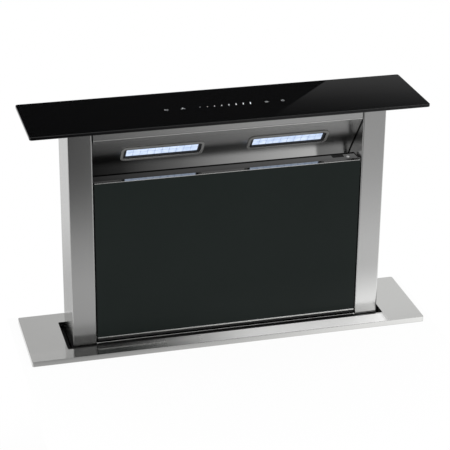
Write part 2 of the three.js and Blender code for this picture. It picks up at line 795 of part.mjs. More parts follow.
// Face of the reflector: fascia, fold, straight slope, then a curve down to the filters.
function reflectorPath() {
  const fold = [frontFace, foldLevel];
  const slopeEnd = [frontFace + reflectorFlatRun, foldLevel - reflectorFlatRun * Math.tan(slope)];
  const centre = add(slopeEnd, [-Math.sin(slope), -Math.cos(slope)], reflectorCurve);
  const steps = 6;
  const curve = [];
  for (let i = 1; i <= steps; i++) {
    curve.push(polar(reflectorCurve, (Math.PI / 2 - slope) * (1 - i / steps), centre));
  }
  const foot = [curve[steps - 1][0], curve[steps - 1][1] - reflectorSkirt];
  const straight = bend([[frontFace + 14, postTop], [frontFace, postTop], fold, slopeEnd]);
  return [...straight, ...curve, foot];
}

// Frame of the straight slope: X along the lamps, Y up the slope, Z out towards the hob.
const toSlope = new THREE.Matrix4()
  .makeTranslation(0, frontFace, foldLevel)
  .multiply(new THREE.Matrix4().makeRotationX(Math.PI - slope));

function makeReflector() {
  const body = alongX(sheet(reflectorPath(), steelSheet), -panelHalf, panelHalf);
  const tools = [-1, 1].map((side) => {
    const opening = roundedRectangle(bezelWidth - 2 * bezelRim, bezelHeight - 2 * bezelRim,
      bezelCorner - bezelRim, [side * lampSpacing / 2, -lampAlongSlope], 5);
    return alongZ(opening, -5, 5).applyMatrix4(toSlope);
  });
  return cut(body, ...tools);
}

// A lamp is drawn in the frame of the slope: pressed bezel, black cup and frosted lens.
function makeLamp(name, side, group) {
  const centre = [side * lampSpacing / 2, -lampAlongSlope];
  const neck = [bezelWidth - 2 * bezelRim - 2 * seatGap, bezelHeight - 2 * bezelRim - 2 * seatGap];
  const neckCorner = bezelCorner - bezelRim - seatGap;
  const rim = alongZ(
    roundedRectangle(bezelWidth, bezelHeight, bezelCorner, centre, 6),
    seatGap, seatGap + bezelThickness,
    [roundedRectangle(neck[0] - 1, neck[1] - 1, neckCorner, centre, 6)],
  );
  place(`${name}_lamp_bezel`, rim, brushedSteel, group);
  const wall = lampBodyWall;
  const shell = alongZ(
    roundedRectangle(neck[0] - 1.8, neck[1] - 1.8, neckCorner - 0.9, centre, 5), -lampBodyDepth, 0.4);
  const cup = alongZ(
    roundedRectangle(lensWidth + 2 * seatGap, lensHeight + 2 * seatGap, 1, centre, 1),
    -lampBodyDepth + wall, 1);
  const clips = [-1, 1].map((end) => block(
    centre[0] + end * neck[0] / 2 - 8, centre[0] + end * neck[0] / 2 + 8, centre[1] - 6, centre[1] + 6,
    -steelSheet - seatGap - 2, -steelSheet - seatGap));
  place(`${name}_lamp_body`, cut(join(shell, ...clips), cup), blackPlastic, group);
  const lens = alongZ(
    roundedRectangle(lensWidth, lensHeight, 1, centre, 2), -lensRecess - lensThickness, -lensRecess);
  place(`${name}_lamp_lens`, lens, diffuser, group);
}

// ---- filters --------------------------------------------------------------------------------------

// Drawn upright about its own middle: frame, folded aluminium core and a pull bail.
function makeFilter() {
  const width = innerHalf - 1.2;
  const frame = alongY(
    rectangle(-width / 2, width / 2, 0, filterHeight), -filterThickness / 2, filterThickness / 2,
    [rectangle(-width / 2 + filterFrame, width / 2 - filterFrame, filterFrame, filterHeight - filterFrame)],
  );
  const coreHalf = width / 2 - filterFrame + 1;
  const path = Array.from({ length: 2 * filterWaves + 1 }, (_, i) => [
    -coreHalf + i * coreHalf / filterWaves,
    (i % 2 ? 1 : -1) * (filterThickness / 2 - 1.6),
  ]);
  const core = alongZ(sheet(path, filterCoreSheet), filterFrame - 1, filterHeight - filterFrame + 1);
  const bail = alongZ(
    sheet(bend([[-22, -filterThickness / 2 + 1], [-22, -filterThickness / 2 - 8],
      [22, -filterThickness / 2 - 8], [22, -filterThickness / 2 + 1]], 3), 2.4),
    filterHeight - filterFrame + 1, filterHeight - 2,
  );
  return join(frame, core, bail);
}

// ---- tilting front panel -------------------------------------------------------------------------

function makeFrontGlass() {
  const face = frontFace + glassRecess;
  const middle = [0, flangeTop + (sillLevel + glassFoot) / 2];
  const outline = roundedRectangle(2 * panelHalf, sillLevel - glassFoot, 1.5, middle, 2);
  return alongY(outline, face, face + glassThickness);
}

function makePanelCarrier() {
  const behind = frontFace + glassRecess + glassThickness + seatGap;
  const top = flangeTop + sillLevel;
  const foot = flangeTop + glassFoot + 1;
  const half = panelHalf - 0.6;
  const path = [
    [behind + panelReturn, foot], [behind, foot], [behind, top],
    [frontFace + sillDepth, top], [frontFace + sillDepth, top - 7],
  ];
  const folded = alongX(sheet([...bend(path)].reverse(), steelSheet), -half, half);
  const ends = [-1, 1].map((side) => block(
    ...mirrored(half - steelSheet, half, side), behind, behind + panelReturn, foot, top - 0.5));
  const [pivotY, pivotZ] = panelPivot;
  const pins = [-1, 1].map((side) =>
    rod(panelPinRadius, ...mirrored(half - 4, innerHalf + panelPinLength, side), pivotY, pivotZ, 16));
  const bosses = [-1, 1].map((side) =>
    rod(5, ...mirrored(half - 6, half, side), pivotY + 1.5, pivotZ + 1, 16));
  // pins and bosses stay behind the glass
  const edge = panelHalf + seatGap;
  const glassSpace = block(-edge, edge, frontFace - 1, behind, foot - 8, top + 1);
  return cut(join(folded, ...ends, ...bosses, ...pins), glassSpace);
}

// ---- blower ---------------------------------------------------------------------------------------

// Spiral of the housing, seen from the front in [x, z], with its straight outlet at +X.
function scrollOutline(grow) {
  const tongue = scrollTongue * Math.PI / 180;
  const bottom = 1.5 * Math.PI;
  const steps = 24;
  const points = [];
  for (let i = 0; i <= steps; i++) {
    const turn = i / steps;
    const radius = scrollStart + scrollGrowth * turn + grow;
    points.push(polar(radius, tongue + (bottom - tongue) * turn, [blowerX, blowerZ]));
  }
  const roof = blowerZ + (scrollStart + grow) * Math.sin(tongue);
  points.push([scrollMouth, blowerZ - scrollStart - scrollGrowth - grow]);
  points.push([scrollMouth, roof + (grow > 0 ? 1.5 * grow : 0)]);
  return points;
}

const scrollBack = -frontOutside - seatGap - chassisSheet - seatGap;
const scrollFront = scrollBack - scrollDepth;
const impellerBack = scrollBack - 9;
const mouthFloor = blowerZ - scrollStart - scrollGrowth;
const mouthRoof = blowerZ + scrollStart * Math.sin(scrollTongue * Math.PI / 180);

function makeScroll() {
  const body = alongY(scrollOutline(scrollWall), scrollFront, scrollBack);
  const hollow = alongY(scrollOutline(0), scrollFront + scrollWall, scrollBack + 1);
  const mouth = block(scrollMouth - 6, scrollMouth + 1, scrollFront + scrollWall, scrollBack + 1,
    mouthFloor, mouthRoof);
  const motorHole = alongY(
    circle(motorRadius + 1, 32, [blowerX, blowerZ]), scrollFront - 1, scrollFront + scrollWall + 1);
  return cut(body, hollow, mouth, motorHole);
}

function makeInletPlate() {
  const plate = alongY(
    scrollOutline(scrollWall + 4), scrollBack + seatGap, scrollBack + seatGap + chassisSheet,
    [circle(inletRadius + inletFlare - 0.5, 24, [blowerX, blowerZ])],
  );
  // bellmouth turned from sheet, its mouth on the chassis side
  const steps = 3;
  const quarter = (inner, flare) => Array.from({ length: steps + 1 }, (_, i) => {
    const angle = i * Math.PI / 2 / steps;
    return [inner + flare * (1 - Math.cos(angle)), flare * Math.sin(angle)];
  });
  const profile = [
    [inletRadius, -5], ...quarter(inletRadius, inletFlare),
    ...quarter(inletRadius + inletSheet, inletFlare - inletSheet).reverse(), [inletRadius + inletSheet, -5],
  ];
  const mouth = revolve(profile, 24).rotateX(-Math.PI / 2)
    .translate(blowerX, scrollBack + seatGap - inletFlare + chassisSheet, blowerZ);
  return join(plate, mouth);
}

function makeImpeller() {
  const depth = impellerWidth;
  const plate = impellerHub - impellerPlate;
  const hub = revolve([
    [impellerHubBore, 0], [impellerHub, 0], [impellerHub, plate], [impellerRadius, plate],
    [impellerRadius, plate + impellerPlate], [impellerHubBore, plate + impellerPlate],
  ], 24);
  const ring = revolve([
    [impellerBore + 1, depth - impellerRing], [impellerRadius, depth - impellerRing],
    [impellerRadius, depth], [impellerBore + 1, depth],
  ], 24);
  const blades = Array.from({ length: impellerBlades }, (_, i) => {
    const start = i * 2 * Math.PI / impellerBlades;
    const path = [0, 0.5, 1].map((t) =>
      polar(impellerBore + t * (impellerRadius - 1 - impellerBore), start + 0.16 * t * t + 0.05 * t));
    return alongZ(sheet(path, 1), plate + impellerPlate / 2, depth - 1);
  });
  return join(hub, ring, ...blades).rotateX(-Math.PI / 2)
    .translate(blowerX, impellerBack - impellerWidth, blowerZ);
}

function makeMotor() {
  const flangeFace = scrollFront - seatGap;
  // profile along the motor's axis, its spindle reaching into the impeller
  const can = revolve([
    [0, -motorLength], [motorRadius - 8, -motorLength], [motorRadius - 4, -motorLength + 4],
    [motorRadius - 4, -3], [motorRadius + 9, -3], [motorRadius + 9, 0], [motorRadius - 1, 0],
    [motorRadius - 1, 2], [16, 2], [16, 5], [7, 5], [7, 34], [0, 34],
  ], 24);
  const fins = Array.from({ length: motorFins }, (_, i) =>
    block(motorRadius - 6, motorRadius - 0.5, -1, 1, -motorLength + 12, -2.5)
      .rotateZ(i * 2 * Math.PI / motorFins));
  return join(can, ...fins).rotateX(-Math.PI / 2).translate(blowerX, flangeFace, blowerZ);
}

// ---- outlet ---------------------------------------------------------------------------------------

const ductCentre = [
  -frontOutside - ductClearance - ductRadius - ductFlangeWidth,
  (mouthFloor + mouthRoof) / 2 + ductLift,
];
const adapterStart = scrollMouth + seatGap;
const collarStart = adapterStart + adapterLength + seatGap;
const flapX = collarStart + collarLength * 0.42;

// Rings of [x, y, z] from a rectangle to a circle, with matching points.
function adapterRing(t, wall) {
  const steps = 24;
  const halfY = scrollDepth / 2 - scrollWall;
  const halfZ = (mouthRoof - mouthFloor) / 2;
  const centreY = (scrollFront + scrollBack) / 2;
  const centreZ = (mouthFloor + mouthRoof) / 2;
  return Array.from({ length: steps }, (_, i) => {
    const angle = (i + 0.5) * 2 * Math.PI / steps;
    const c = Math.cos(angle);
    const s = Math.sin(angle);
    const square = 1 / Math.max(Math.abs(c), Math.abs(s));
    const rect = [centreY + (halfY + wall) * c * square, centreZ + (halfZ + wall) * s * square];
    const round = polar(ductRadius + wall, angle, ductCentre);
    const ease = t * t * (3 - 2 * t);
    return [
      adapterStart + adapterLength * t,
      rect[0] + (round[0] - rect[0]) * ease,
      rect[1] + (round[1] - rect[1]) * ease,
    ];
  });
}

function makeAdapter() {
  const stations = [0, 0.35, 0.65, 1];
  const outer = stations.map((t) => adapterRing(t, ductWall));
  const inner = [-0.02, ...stations.slice(1, -1), 1.02].map((t) => {
    const ring = adapterRing(Math.min(1, Math.max(0, t)), 0);
    return ring.map(([, y, z]) => [adapterStart + adapterLength * t, y, z]);
  });
  const body = join(
    loft(outer),
    alongX(circle(ductRadius + ductFlangeWidth, 28, ductCentre), adapterStart + adapterLength - 3,
      adapterStart + adapterLength),
  );
  return cut(body, loft(inner));
}

function makeCollar() {
  const outer = ductRadius;
  const bore = ductRadius - ductWall;
  const profile = [
    [bore, 0], [outer + ductFlangeWidth, 0], [outer + ductFlangeWidth, 2.5], [outer, 2.5],
    [outer, collarLength - 12], [outer + 1.5, collarLength - 10], [outer, collarLength - 8],
    [outer, collarLength], [bore, collarLength],
  ];
  const tube = revolve(profile, 28).rotateY(Math.PI / 2).translate(collarStart, ...ductCentre);
  const pin = new THREE.CylinderGeometry(flapPinRadius, flapPinRadius, 2 * bore + 1, 12)
    .rotateX(Math.PI / 2).translate(flapX, ...ductCentre);
  return join(tube, pin);
}

// Half disc of the back-draught flap, with two knuckles on the pin.
function makeFlap(side) {
  const radius = ductRadius - ductWall - flapClearance;
  const edge = knuckleRadius + runningGap;
  const [cy, cz] = ductCentre;
  const start = Math.acos(edge / radius);
  const outline = [];
  const steps = 12;
  for (let i = 0; i <= steps; i++) {
    const angle = -start + 2 * start * i / steps;
    outline.push([cy + side * radius * Math.cos(angle), cz + radius * Math.sin(angle)]);
  }
  const plate = alongX(outline, flapX - flapThickness / 2, flapX + flapThickness / 2);
  const places = side > 0 ? [-34, 8] : [-18, 24];
  const knuckles = places.map((z) => {
    const tube = alongZ(circle(knuckleRadius, 12, [flapX, cy]), cz + z, cz + z + knuckleLength);
    const web = block(flapX - flapThickness / 2, flapX + flapThickness / 2,
      Math.min(cy, cy + side * (edge + 1)), Math.max(cy, cy + side * (edge + 1)),
      cz + z, cz + z + knuckleLength);
    return join(tube, web);
  });
  const bores = places.map((z) =>
    alongZ(circle((flapPinRadius + runningGap) / Math.cos(Math.PI / 12), 12, [flapX, cy]),
      cz + z - 1, cz + z + knuckleLength + 1));
  return cut(join(plate, ...knuckles), ...bores);
}

// ---- electrics ------------------------------------------------------------------------------------

function makeControlBox() {
  const back = -frontOutside - seatGap;
  const centre = [controlX, controlZ];
  const box = alongY(roundedRectangle(controlWidth, controlHeight, 3, centre), back - controlDepth, back);
  const hollow = alongY(
    roundedRectangle(controlWidth - 2 * controlWall, controlHeight - 2 * controlWall, 2, centre),
    back - controlDepth - 1, back - controlWall);
  const glandHole = alongZ(circle(glandRadius - 2, 16, [controlX - glandInset, back - controlDepth / 2]),
    controlZ - controlHeight / 2 - 1, controlZ - controlHeight / 2 + controlWall + 1);
  return cut(box, hollow, glandHole);
}

function makeControlLid() {
  const back = -frontOutside - seatGap - controlDepth - seatGap;
  const outline = roundedRectangle(controlWidth, controlHeight, 3, [controlX, controlZ]);
  const lid = alongY(outline, back - 2.5, back);
  const vents = [0, 1, 2, 3, 4].map((i) => alongY(
    roundedRectangle(...ventSize, 1.5, [controlX + ventSize[0], controlZ + (2 - i) * ventPitch], 1),
    back - 3, back + 1));
  return cut(lid, ...vents);
}

function makeGland() {
  const centre = [controlX - glandInset, -frontOutside - seatGap - controlDepth / 2];
  const seat = controlZ - controlHeight / 2 - seatGap;
  const bore = circle(glandBore, 12, centre);
  const nut = alongZ(circle(glandRadius + 2, 6, centre), seat - 7, seat, [bore]);
  const neck = alongZ(circle(glandRadius - 2.4, 12, centre), seat - 1, seat + 7, [bore]);
  const dome = alongZ(circle(glandRadius, 12, centre), seat - 18, seat - 6, [bore]);
  return join(nut, neck, dome);
}

// ---- assembly ---------------------------------------------------------------------------------------

place('worktop_flange', makeFlange(), brushedSteel);
place('flange_gasket', makeGasket(), rubber);
place('chassis_front', makeChassisFront(), galvanised);
place('chassis_back', makeChassisBack(), galvanised);
place('chassis_base', makeChassisBase(), galvanised);
place('seal_frame', makeSealFrame(), galvanised);
place('throat_seal', makeThroatSeal(), rubber);

for (const [name, side] of sides) {
  place(`chassis_${name}`, makeChassisSide(side), galvanised);
  place(`${name}_foot`, makeFoot(side), galvanised);
  place(`${name}_worktop_clamp`, makeClamp(side), galvanised);
  place(`${name}_guide_rail`, makeRail(side), aluminium);
  place(`${name}_rack`, makeRack(side), nylon);
  place(`${name}_post`, makePost(side), brushedSteel);
  place(`${name}_slide_shoe`, makeShoe(side), nylon);
  place(`${name}_bearing`, makeBearing(side), blackPlastic);
  place(`${name}_pinion`, makePinion(side), nylon);
}

place('glass_cap', makeCap(), blackGlass);
place('cap_carrier', makeCapCarrier(), galvanised);
place('touch_control', makeTouchControl(), blackPlastic);
place('tower_back', makeTowerBack(), brushedSteel);
place('lamp_reflector', makeReflector(), brushedSteel);
place('front_skirt', makeSkirt(), brushedSteel);
place('filter_channel', makeFilterChannel(), galvanised);
place('carriage', makeCarriage(), galvanised);
place('lift_motor', makeLiftMotor(), blackPlastic);
place('drive_shaft', makeDriveShaft(), shaftSteel);
place('shaft_gear', makeShaftGear(), nylon);
place('motor_pinion', makeMotorPinion(), nylon);

const lampGroup = new THREE.Group();
lampGroup.applyMatrix4(toSlope);
extractor.add(lampGroup);
for (const [name, side] of sides) makeLamp(name, side, lampGroup);

for (const [name, side] of sides) {
  const filter = place(`${name}_grease_filter`, makeFilter(), aluminium);
  const lift = steelSheet + seatGap + Math.sin(filterLean) * filterThickness / 2;
  filter.position.set(side * innerHalf / 2, channelMiddle, channelFoot + lift);
  filter.rotation.x = -filterLean;
}

place('front_glass', makeFrontGlass(), tintedGlass);
place('panel_carrier', makePanelCarrier(), brushedSteel);

place('scroll_housing', makeScroll(), blackPlastic);
place('inlet_plate', makeInletPlate(), galvanised);
place('blower_impeller', makeImpeller(), blackPlastic);
place('blower_motor', makeMotor(), aluminium);
place('outlet_adapter', makeAdapter(), blackPlastic);
place('outlet_collar', makeCollar(), blackPlastic);
place('front_flap', makeFlap(-1), blackPlastic);
place('rear_flap', makeFlap(1), blackPlastic);
place('control_box', makeControlBox(), galvanised);
place('control_box_lid', makeControlLid(), galvanised);
place('supply_gland', makeGland(), blackPlastic);

export default extractor;
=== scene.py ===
import json
import math

import bmesh
import bpy
from mathutils import Matrix, Vector


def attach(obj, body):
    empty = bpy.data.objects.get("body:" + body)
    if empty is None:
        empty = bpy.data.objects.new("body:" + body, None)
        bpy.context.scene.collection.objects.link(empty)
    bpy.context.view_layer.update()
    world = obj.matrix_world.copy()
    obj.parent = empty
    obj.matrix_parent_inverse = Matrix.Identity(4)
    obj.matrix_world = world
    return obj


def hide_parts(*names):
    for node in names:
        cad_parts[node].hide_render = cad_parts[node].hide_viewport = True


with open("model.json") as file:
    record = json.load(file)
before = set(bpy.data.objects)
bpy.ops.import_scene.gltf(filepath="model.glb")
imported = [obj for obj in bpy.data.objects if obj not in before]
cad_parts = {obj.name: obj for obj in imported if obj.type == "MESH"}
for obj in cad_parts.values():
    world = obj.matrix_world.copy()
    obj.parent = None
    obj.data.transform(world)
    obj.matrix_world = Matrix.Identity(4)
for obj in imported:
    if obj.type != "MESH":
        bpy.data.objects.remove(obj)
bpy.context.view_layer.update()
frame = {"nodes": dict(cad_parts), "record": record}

mm = 0.001
scene = bpy.context.scene
print("frame loaded:", len(frame["nodes"]), "nodes")


# camera at the photograph's angle

cameraLook = {
    "place": (-0.5954, -2.2218, 1.8678),
    "yaw": 0.2635,      # radians to the right of straight ahead
    "pitch": 0.4248,    # radians below the horizon
    "roll": 0.0106,
    "lens": 132.07, "sensor": 36, "clip": (0.05, 60),
}


def makeCamera(look):
    data = bpy.data.cameras.new("photoCamera")
    camera = bpy.data.objects.new("photoCamera", data)
    scene.collection.objects.link(camera)
    data.lens = look["lens"]
    data.sensor_width = look["sensor"]
    data.clip_start, data.clip_end = look["clip"]
    ahead = Vector((
        math.sin(look["yaw"]) * math.cos(look["pitch"]),
        math.cos(look["yaw"]) * math.cos(look["pitch"]),
        -math.sin(look["pitch"]),
    ))
    level = Vector((math.cos(look["yaw"]), -math.sin(look["yaw"]), 0))
    upright = level.cross(ahead)
    right = level * math.cos(look["roll"]) + upright * math.sin(look["roll"])
    up = upright * math.cos(look["roll"]) - level * math.sin(look["roll"])
    turn = Matrix((right, up, -ahead)).transposed().to_4x4()
    camera.matrix_world = Matrix.Translation(Vector(look["place"])) @ turn
    scene.camera = camera


makeCamera(cameraLook)
scene.view_settings.view_transform = "Standard"
print("camera placed")


# node helpers; an input is given a plain value or another node's socket

def feed(tree, node, values):
    for key, value in values.items():
        if isinstance(value, bpy.types.NodeSocket):
            tree.links.new(value, node.inputs[key])
        else:
            node.inputs[key].default_value = value


def addNode(tree, kind, settings=None, inputs=None):
    node = tree.nodes.new(kind)
    for key, value in (settings or {}).items():
        setattr(node, key, value)
    feed(tree, node, inputs or {})
    return node


def calculate(tree, operation, *values):
    return addNode(tree, "ShaderNodeMath", {"operation": operation}, dict(enumerate(values))).outputs[0]


def times(tree, a, b):
    return calculate(tree, "MULTIPLY", a, b)


def startMaterial(name):
    material = bpy.data.materials.new(name)
    material.use_nodes = True
    tree = material.node_tree
    return material, tree, tree.nodes["Principled BSDF"]


# material of emission and plain shaders, with its own output
def startBare(name):
    material, tree, _ = startMaterial(name)
    tree.nodes.clear()
    return material, tree, addNode(tree, "ShaderNodeOutputMaterial")


def objectPlace(tree):
    return addNode(tree, "ShaderNodeTexCoord").outputs["Object"]


def objectPattern(tree, scale):
    return addNode(tree, "ShaderNodeMapping", inputs={"Scale": scale, "Vector": objectPlace(tree)}).outputs["Vector"]


def objectParts(tree):
    return addNode(tree, "ShaderNodeSeparateXYZ", inputs={"Vector": objectPlace(tree)}).outputs


# the scale is one number, or one for each axis
def noise(tree, scale, detail):
    scales = scale if isinstance(scale, tuple) else (scale,) * 3
    return addNode(tree, "ShaderNodeTexNoise", inputs={
        "Scale": 1, "Detail": detail, "Roughness": 0.55, "Vector": objectPattern(tree, scales)}).outputs["Fac"]


def spread(tree, value, low, high, fromLow=0.3, fromHigh=0.7, kind="LINEAR"):
    return addNode(tree, "ShaderNodeMapRange", {"interpolation_type": kind}, {
        "Value": value, "From Min": fromLow, "From Max": fromHigh, "To Min": low, "To Max": high}).outputs["Result"]


def tint(tree, value, dark, light, fromLow=0.3, fromHigh=0.7):
    ramp = addNode(tree, "ShaderNodeValToRGB", inputs={"Fac": value})
    for stop, place, color in zip(ramp.color_ramp.elements, (fromLow, fromHigh), (dark, light)):
        stop.position = place
        stop.color = (*color, 1)
    return ramp.outputs["Color"]


def relief(tree, height, look):
    return addNode(tree, "ShaderNodeBump", inputs={
        "Strength": look["bump"], "Distance": look["depth"], "Height": height}).outputs["Normal"]


def scaled(color, factor):
    return tuple(min(1, c * factor) for c in color)


# colour and roughness of a look, each varied by a pattern within a span of factors
def varied(tree, look, shades, shadeSpan, gloss):
    ends = look.get("ends", (0.3, 0.7))
    color = tint(tree, shades, *(scaled(look["color"], factor) for factor in shadeSpan), *ends)
    return color, spread(tree, gloss, *(look["roughness"] * factor for factor in look["glossSpan"]), *ends)


# stainless and zinc sheet, ground or pressed

def makeSheetMetal(name, look):
    material, tree, shader = startMaterial(name)
    feed(tree, shader, {"Metallic": 1})
    streaks, clouds = noise(tree, look["grain"], 4), noise(tree, look["clouds"], 3)
    color, rough = varied(tree, look, clouds, (1 - look["clouding"], 1 + look["clouding"]), streaks)
    if "satin" in look:
        color, rough = addPaintedSheen(tree, shader, color, rough, look["satin"])
    feed(tree, shader, {"Base Color": color, "Roughness": rough, "Normal": relief(tree, streaks, look)})
    return material


# painted sheen: the sheet in front of the slot made paler, rougher and less metallic, growing along X towards the
# right, standing in for reflected light there
def addPaintedSheen(tree, shader, color, rough, look):
    parts = objectParts(tree)

    def fade(axis, start, end, low=0.0, high=1.0):
        return spread(tree, parts[axis], low, high, start, end, "SMOOTHSTEP")

    rising = fade("X", look["from"], look["to"], look["least"])
    along = times(tree, rising, fade("X", look["end"] - look["endBlur"], look["end"], 1, 0))
    behind = times(tree, fade("Y", look["front"] - look["frontBlur"], look["front"], 1, 0), look["share"])
    mask = times(tree, times(tree, along, behind), fade("Y", look["edge"] - look["edgeBlur"], look["edge"]))
    feed(tree, shader, {"Metallic": spread(tree, mask, 1, 0, 0, 1)})
    paler = addNode(tree, "ShaderNodeMixRGB", inputs={"Fac": mask, "Color1": color, "Color2": (*look["color"], 1)})
    return paler.outputs["Color"], calculate(tree, "MULTIPLY_ADD", mask, look["rougher"], rough)


def makeGalvanised(name, look):
    material, tree, shader = startMaterial(name)
    flakes = addNode(tree, "ShaderNodeTexVoronoi", inputs={
        "Scale": look["flakes"], "Randomness": 1, "Vector": objectPattern(tree, (1, 1, 1))})
    grey = addNode(tree, "ShaderNodeRGBToBW", inputs={"Color": flakes.outputs["Color"]}).outputs["Val"]
    color, rough = varied(tree, look, grey, look["shadeSpan"], grey)
    feed(tree, shader, {
        "Metallic": 1, "Base Color": color, "Roughness": rough,
        "Normal": relief(tree, noise(tree, look["grain"], 2), look)})
    return material


def makeMoulded(name, look):
    material, tree, shader = startMaterial(name)
    grain, clouds = noise(tree, look["grain"], 3), noise(tree, look["clouds"], 2)
    color, rough = varied(tree, look, clouds, look["shadeSpan"], grain)
    feed(tree, shader, {
        "Specular IOR Level": look["specular"], "Base Color": color, "Roughness": rough,
        "Normal": relief(tree, grain, look)})
    return material


def makeGlass(name, look):
    material, tree, shader = startMaterial(name)
    haze = noise(tree, look["haze"], 3)
    color, rough = varied(tree, look, haze, look["shadeSpan"], haze)
    feed(tree, shader, {
        "Specular IOR Level": look["specular"], "IOR": look["ior"], "Base Color": color, "Roughness": rough})
    return material


def makeLitMaterial(name, look):
    material, tree, shader = startMaterial(name)
    mottle = noise(tree, look["mottle"], 2)
    feed(tree, shader, {
        "Base Color": look["color"], "Roughness": look["roughness"], "Specular IOR Level": look["specular"],
        "Emission Color": tint(tree, mottle, look["edge"], look["middle"], *look["ends"]),
        "Emission Strength": look["strength"]})
    return material


# print that is also made to glow faintly: a painted glow, not a lamp
def makeMarkMaterial(name, look):
    material, tree, shader = startMaterial(name)
    color = tint(tree, noise(tree, look["grain"], 1), scaled(look["color"], look["darkest"]), look["color"])
    feed(tree, shader, {
        "Base Color": color, "Roughness": look["roughness"],
        "Emission Color": (*look["color"], 1), "Emission Strength": look["strength"]})
    return material


finishLooks = [
    # maker, what its finishes share, what a row gives, the rows
    (makeSheetMetal, {"clouds": 9, "glossSpan": (0.92, 1.08), "depth": 0.00005},
     ("color", "roughness", "grain", "clouding", "bump", "satin"), {
        # stainless with the grain across, as on the posts
        "postSteel": ((0.57, 0.57, 0.565), 0.2, (900, 900, 5), 0.012, 0.06),
        "reflectorSteel": ((0.60, 0.60, 0.595), 0.24, (2, 450, 450), 0.02, 0.02),
        # flange: a painted sheen brightens its front strip towards the right
        "flangeSteel": ((0.56, 0.56, 0.55), 0.1, (5, 900, 900), 0.015, 0.04, {
            "from": -0.183, "to": 0.066, "end": 0.256, "endBlur": 0.012, "front": -0.0463, "frontBlur": 0.0005,
            "edge": -0.0727, "edgeBlur": 0.0004, "share": 1.0, "least": 0.05, "rougher": 0.3,
            "color": (0.96, 0.96, 0.95)}),
        # sill: the same stainless as the posts darkened to about half, as painted shade
        "sillSteel": ((0.3, 0.3, 0.3), 0.07, (5, 700, 700), 0.02, 0.02),
        "trimSteel": ((0.68, 0.68, 0.67), 0.16, 300, 0.01, 0.04),
        "groundSteel": ((0.62, 0.62, 0.61), 0.18, (1200, 40, 40), 0.02, 0.1),
        "zincSteel": ((0.62, 0.61, 0.56), 0.3, 400, 0.08, 0.08),
        "aluminium": ((0.74, 0.745, 0.75), 0.34, (500, 500, 40), 0.03, 0.12),
    }),
    (makeGalvanised, {"shadeSpan": (0.91, 1.07), "glossSpan": (0.8, 1.2), "ends": (0.2, 0.8), "depth": 0.00008},
     ("color", "roughness", "flakes", "grain", "bump"), {
        "galvanised": ((0.56, 0.575, 0.59), 0.42, 105, 700, 0.12),
    }),
    (makeGlass, {"haze": 5, "ior": 1.5, "shadeSpan": (0.95, 1.05), "glossSpan": (0.8, 1.3)},
     ("color", "roughness", "specular"), {
        "capGlass": ((0.0012, 0.0013, 0.0015), 0.015, 0.5),
        "panelGlass": ((0.0128, 0.0163, 0.0152), 0.09, 0.06),
    }),
    (makeMoulded, {"clouds": 14, "shadeSpan": (0.85, 1.15), "glossSpan": (0.88, 1.12), "depth": 0.0001},
     ("color", "roughness", "grain", "bump", "specular"), {
        "castAluminium": ((0.3, 0.305, 0.31), 0.5, 420, 0.5, 0.6),
        "blackPlastic": ((0.022, 0.022, 0.024), 0.42, 900, 0.3, 0.4),
        "greyPlastic": ((0.075, 0.078, 0.082), 0.5, 800, 0.35, 0.4),
        "nylon": ((0.74, 0.72, 0.66), 0.4, 600, 0.1, 0.4),
        "bezelSteel": ((0.2, 0.2, 0.195), 0.3, 500, 0.1, 0.7),
        "satinRim": ((0.6, 0.6, 0.59), 0.3, 500, 0.1, 0.6),
        "rubber": ((0.014, 0.014, 0.014), 0.78, 1300, 0.5, 0.25),
        "boardEdge": ((0.5, 0.5, 0.49), 0.6, 260, 0.2, 0.4),
    }),
    (makeLitMaterial, {"color": (0.12, 0.14, 0.18, 1), "roughness": 0.45, "specular": 0.2, "ends": (0.35, 0.65)},
     ("edge", "middle", "mottle", "strength"), {
        "lampGlow": ((0.36, 0.44, 0.62), (0.48, 0.57, 0.76), 160, 0.9),
        "cellGlow": ((0.5, 0.62, 0.84), (0.7, 0.8, 0.97), 110, 1.0),
    }),
    (makeMarkMaterial, {"darkest": 0.9, "roughness": 0.5, "grain": 900}, ("color", "strength"), {
        "printWithPaintedGlow": ((0.75, 0.77, 0.8), 0.25),
    }),
]
finishes = {}
for maker, shared, given, rows in finishLooks:
    for name, row in rows.items():
        finishes[name] = maker(name, {**shared, **dict(zip(given, row))})
print("finishes made:", len(finishes))


# mesh helpers; outlines and sizes are in millimetres, meshes in metres

limits = {
    # vertices nearer than this, in metres, are one: in a made form, and in a CAD node's
    "weld": 0.00001, "nodeWeld": 0.00002,
    # in degrees: faces bent less are one; edges bent more stay sharp, on sheet and block, and on turned pieces
    "flat": 0.6, "sheetSharp": 42, "turnedSharp": 35,
}


def newPiece(name, mesh, finish):
    piece = bpy.data.objects.new(name, mesh)
    scene.collection.objects.link(piece)
    piece.data.materials.clear()
    piece.data.materials.append(finishes[finish])
    return piece


def toMesh(name, shape, turnOut=True):
    if turnOut:
        bmesh.ops.recalc_face_normals(shape, faces=shape.faces)
    mesh = bpy.data.meshes.new(name)
    shape.to_mesh(mesh)
    shape.free()
    return mesh


def smooth(mesh, angle):
    mesh.shade_smooth()
    mesh.set_sharp_from_angle(angle=math.radians(angle))


def fromBmesh(name, shape, finish):
    bmesh.ops.remove_doubles(shape, verts=shape.verts, dist=limits["weld"])
    mesh = toMesh(name, shape)
    smooth(mesh, limits["turnedSharp"])
    return newPiece(name, mesh, finish)


def loop(shape, outline, level):
    return [shape.verts.new((x * mm, y * mm, level * mm)) for x, y in outline]


# faces between two loops of equal counts
def bridge(shape, low, high):
    ahead = [*range(1, len(low)), 0]
    return [shape.faces.new((low[i], low[k], high[k], high[i])) for i, k in enumerate(ahead)]


def closedBetween(shape, low, high):
    bridge(shape, low, high)
    shape.faces.new(low)
    shape.faces.new(high)


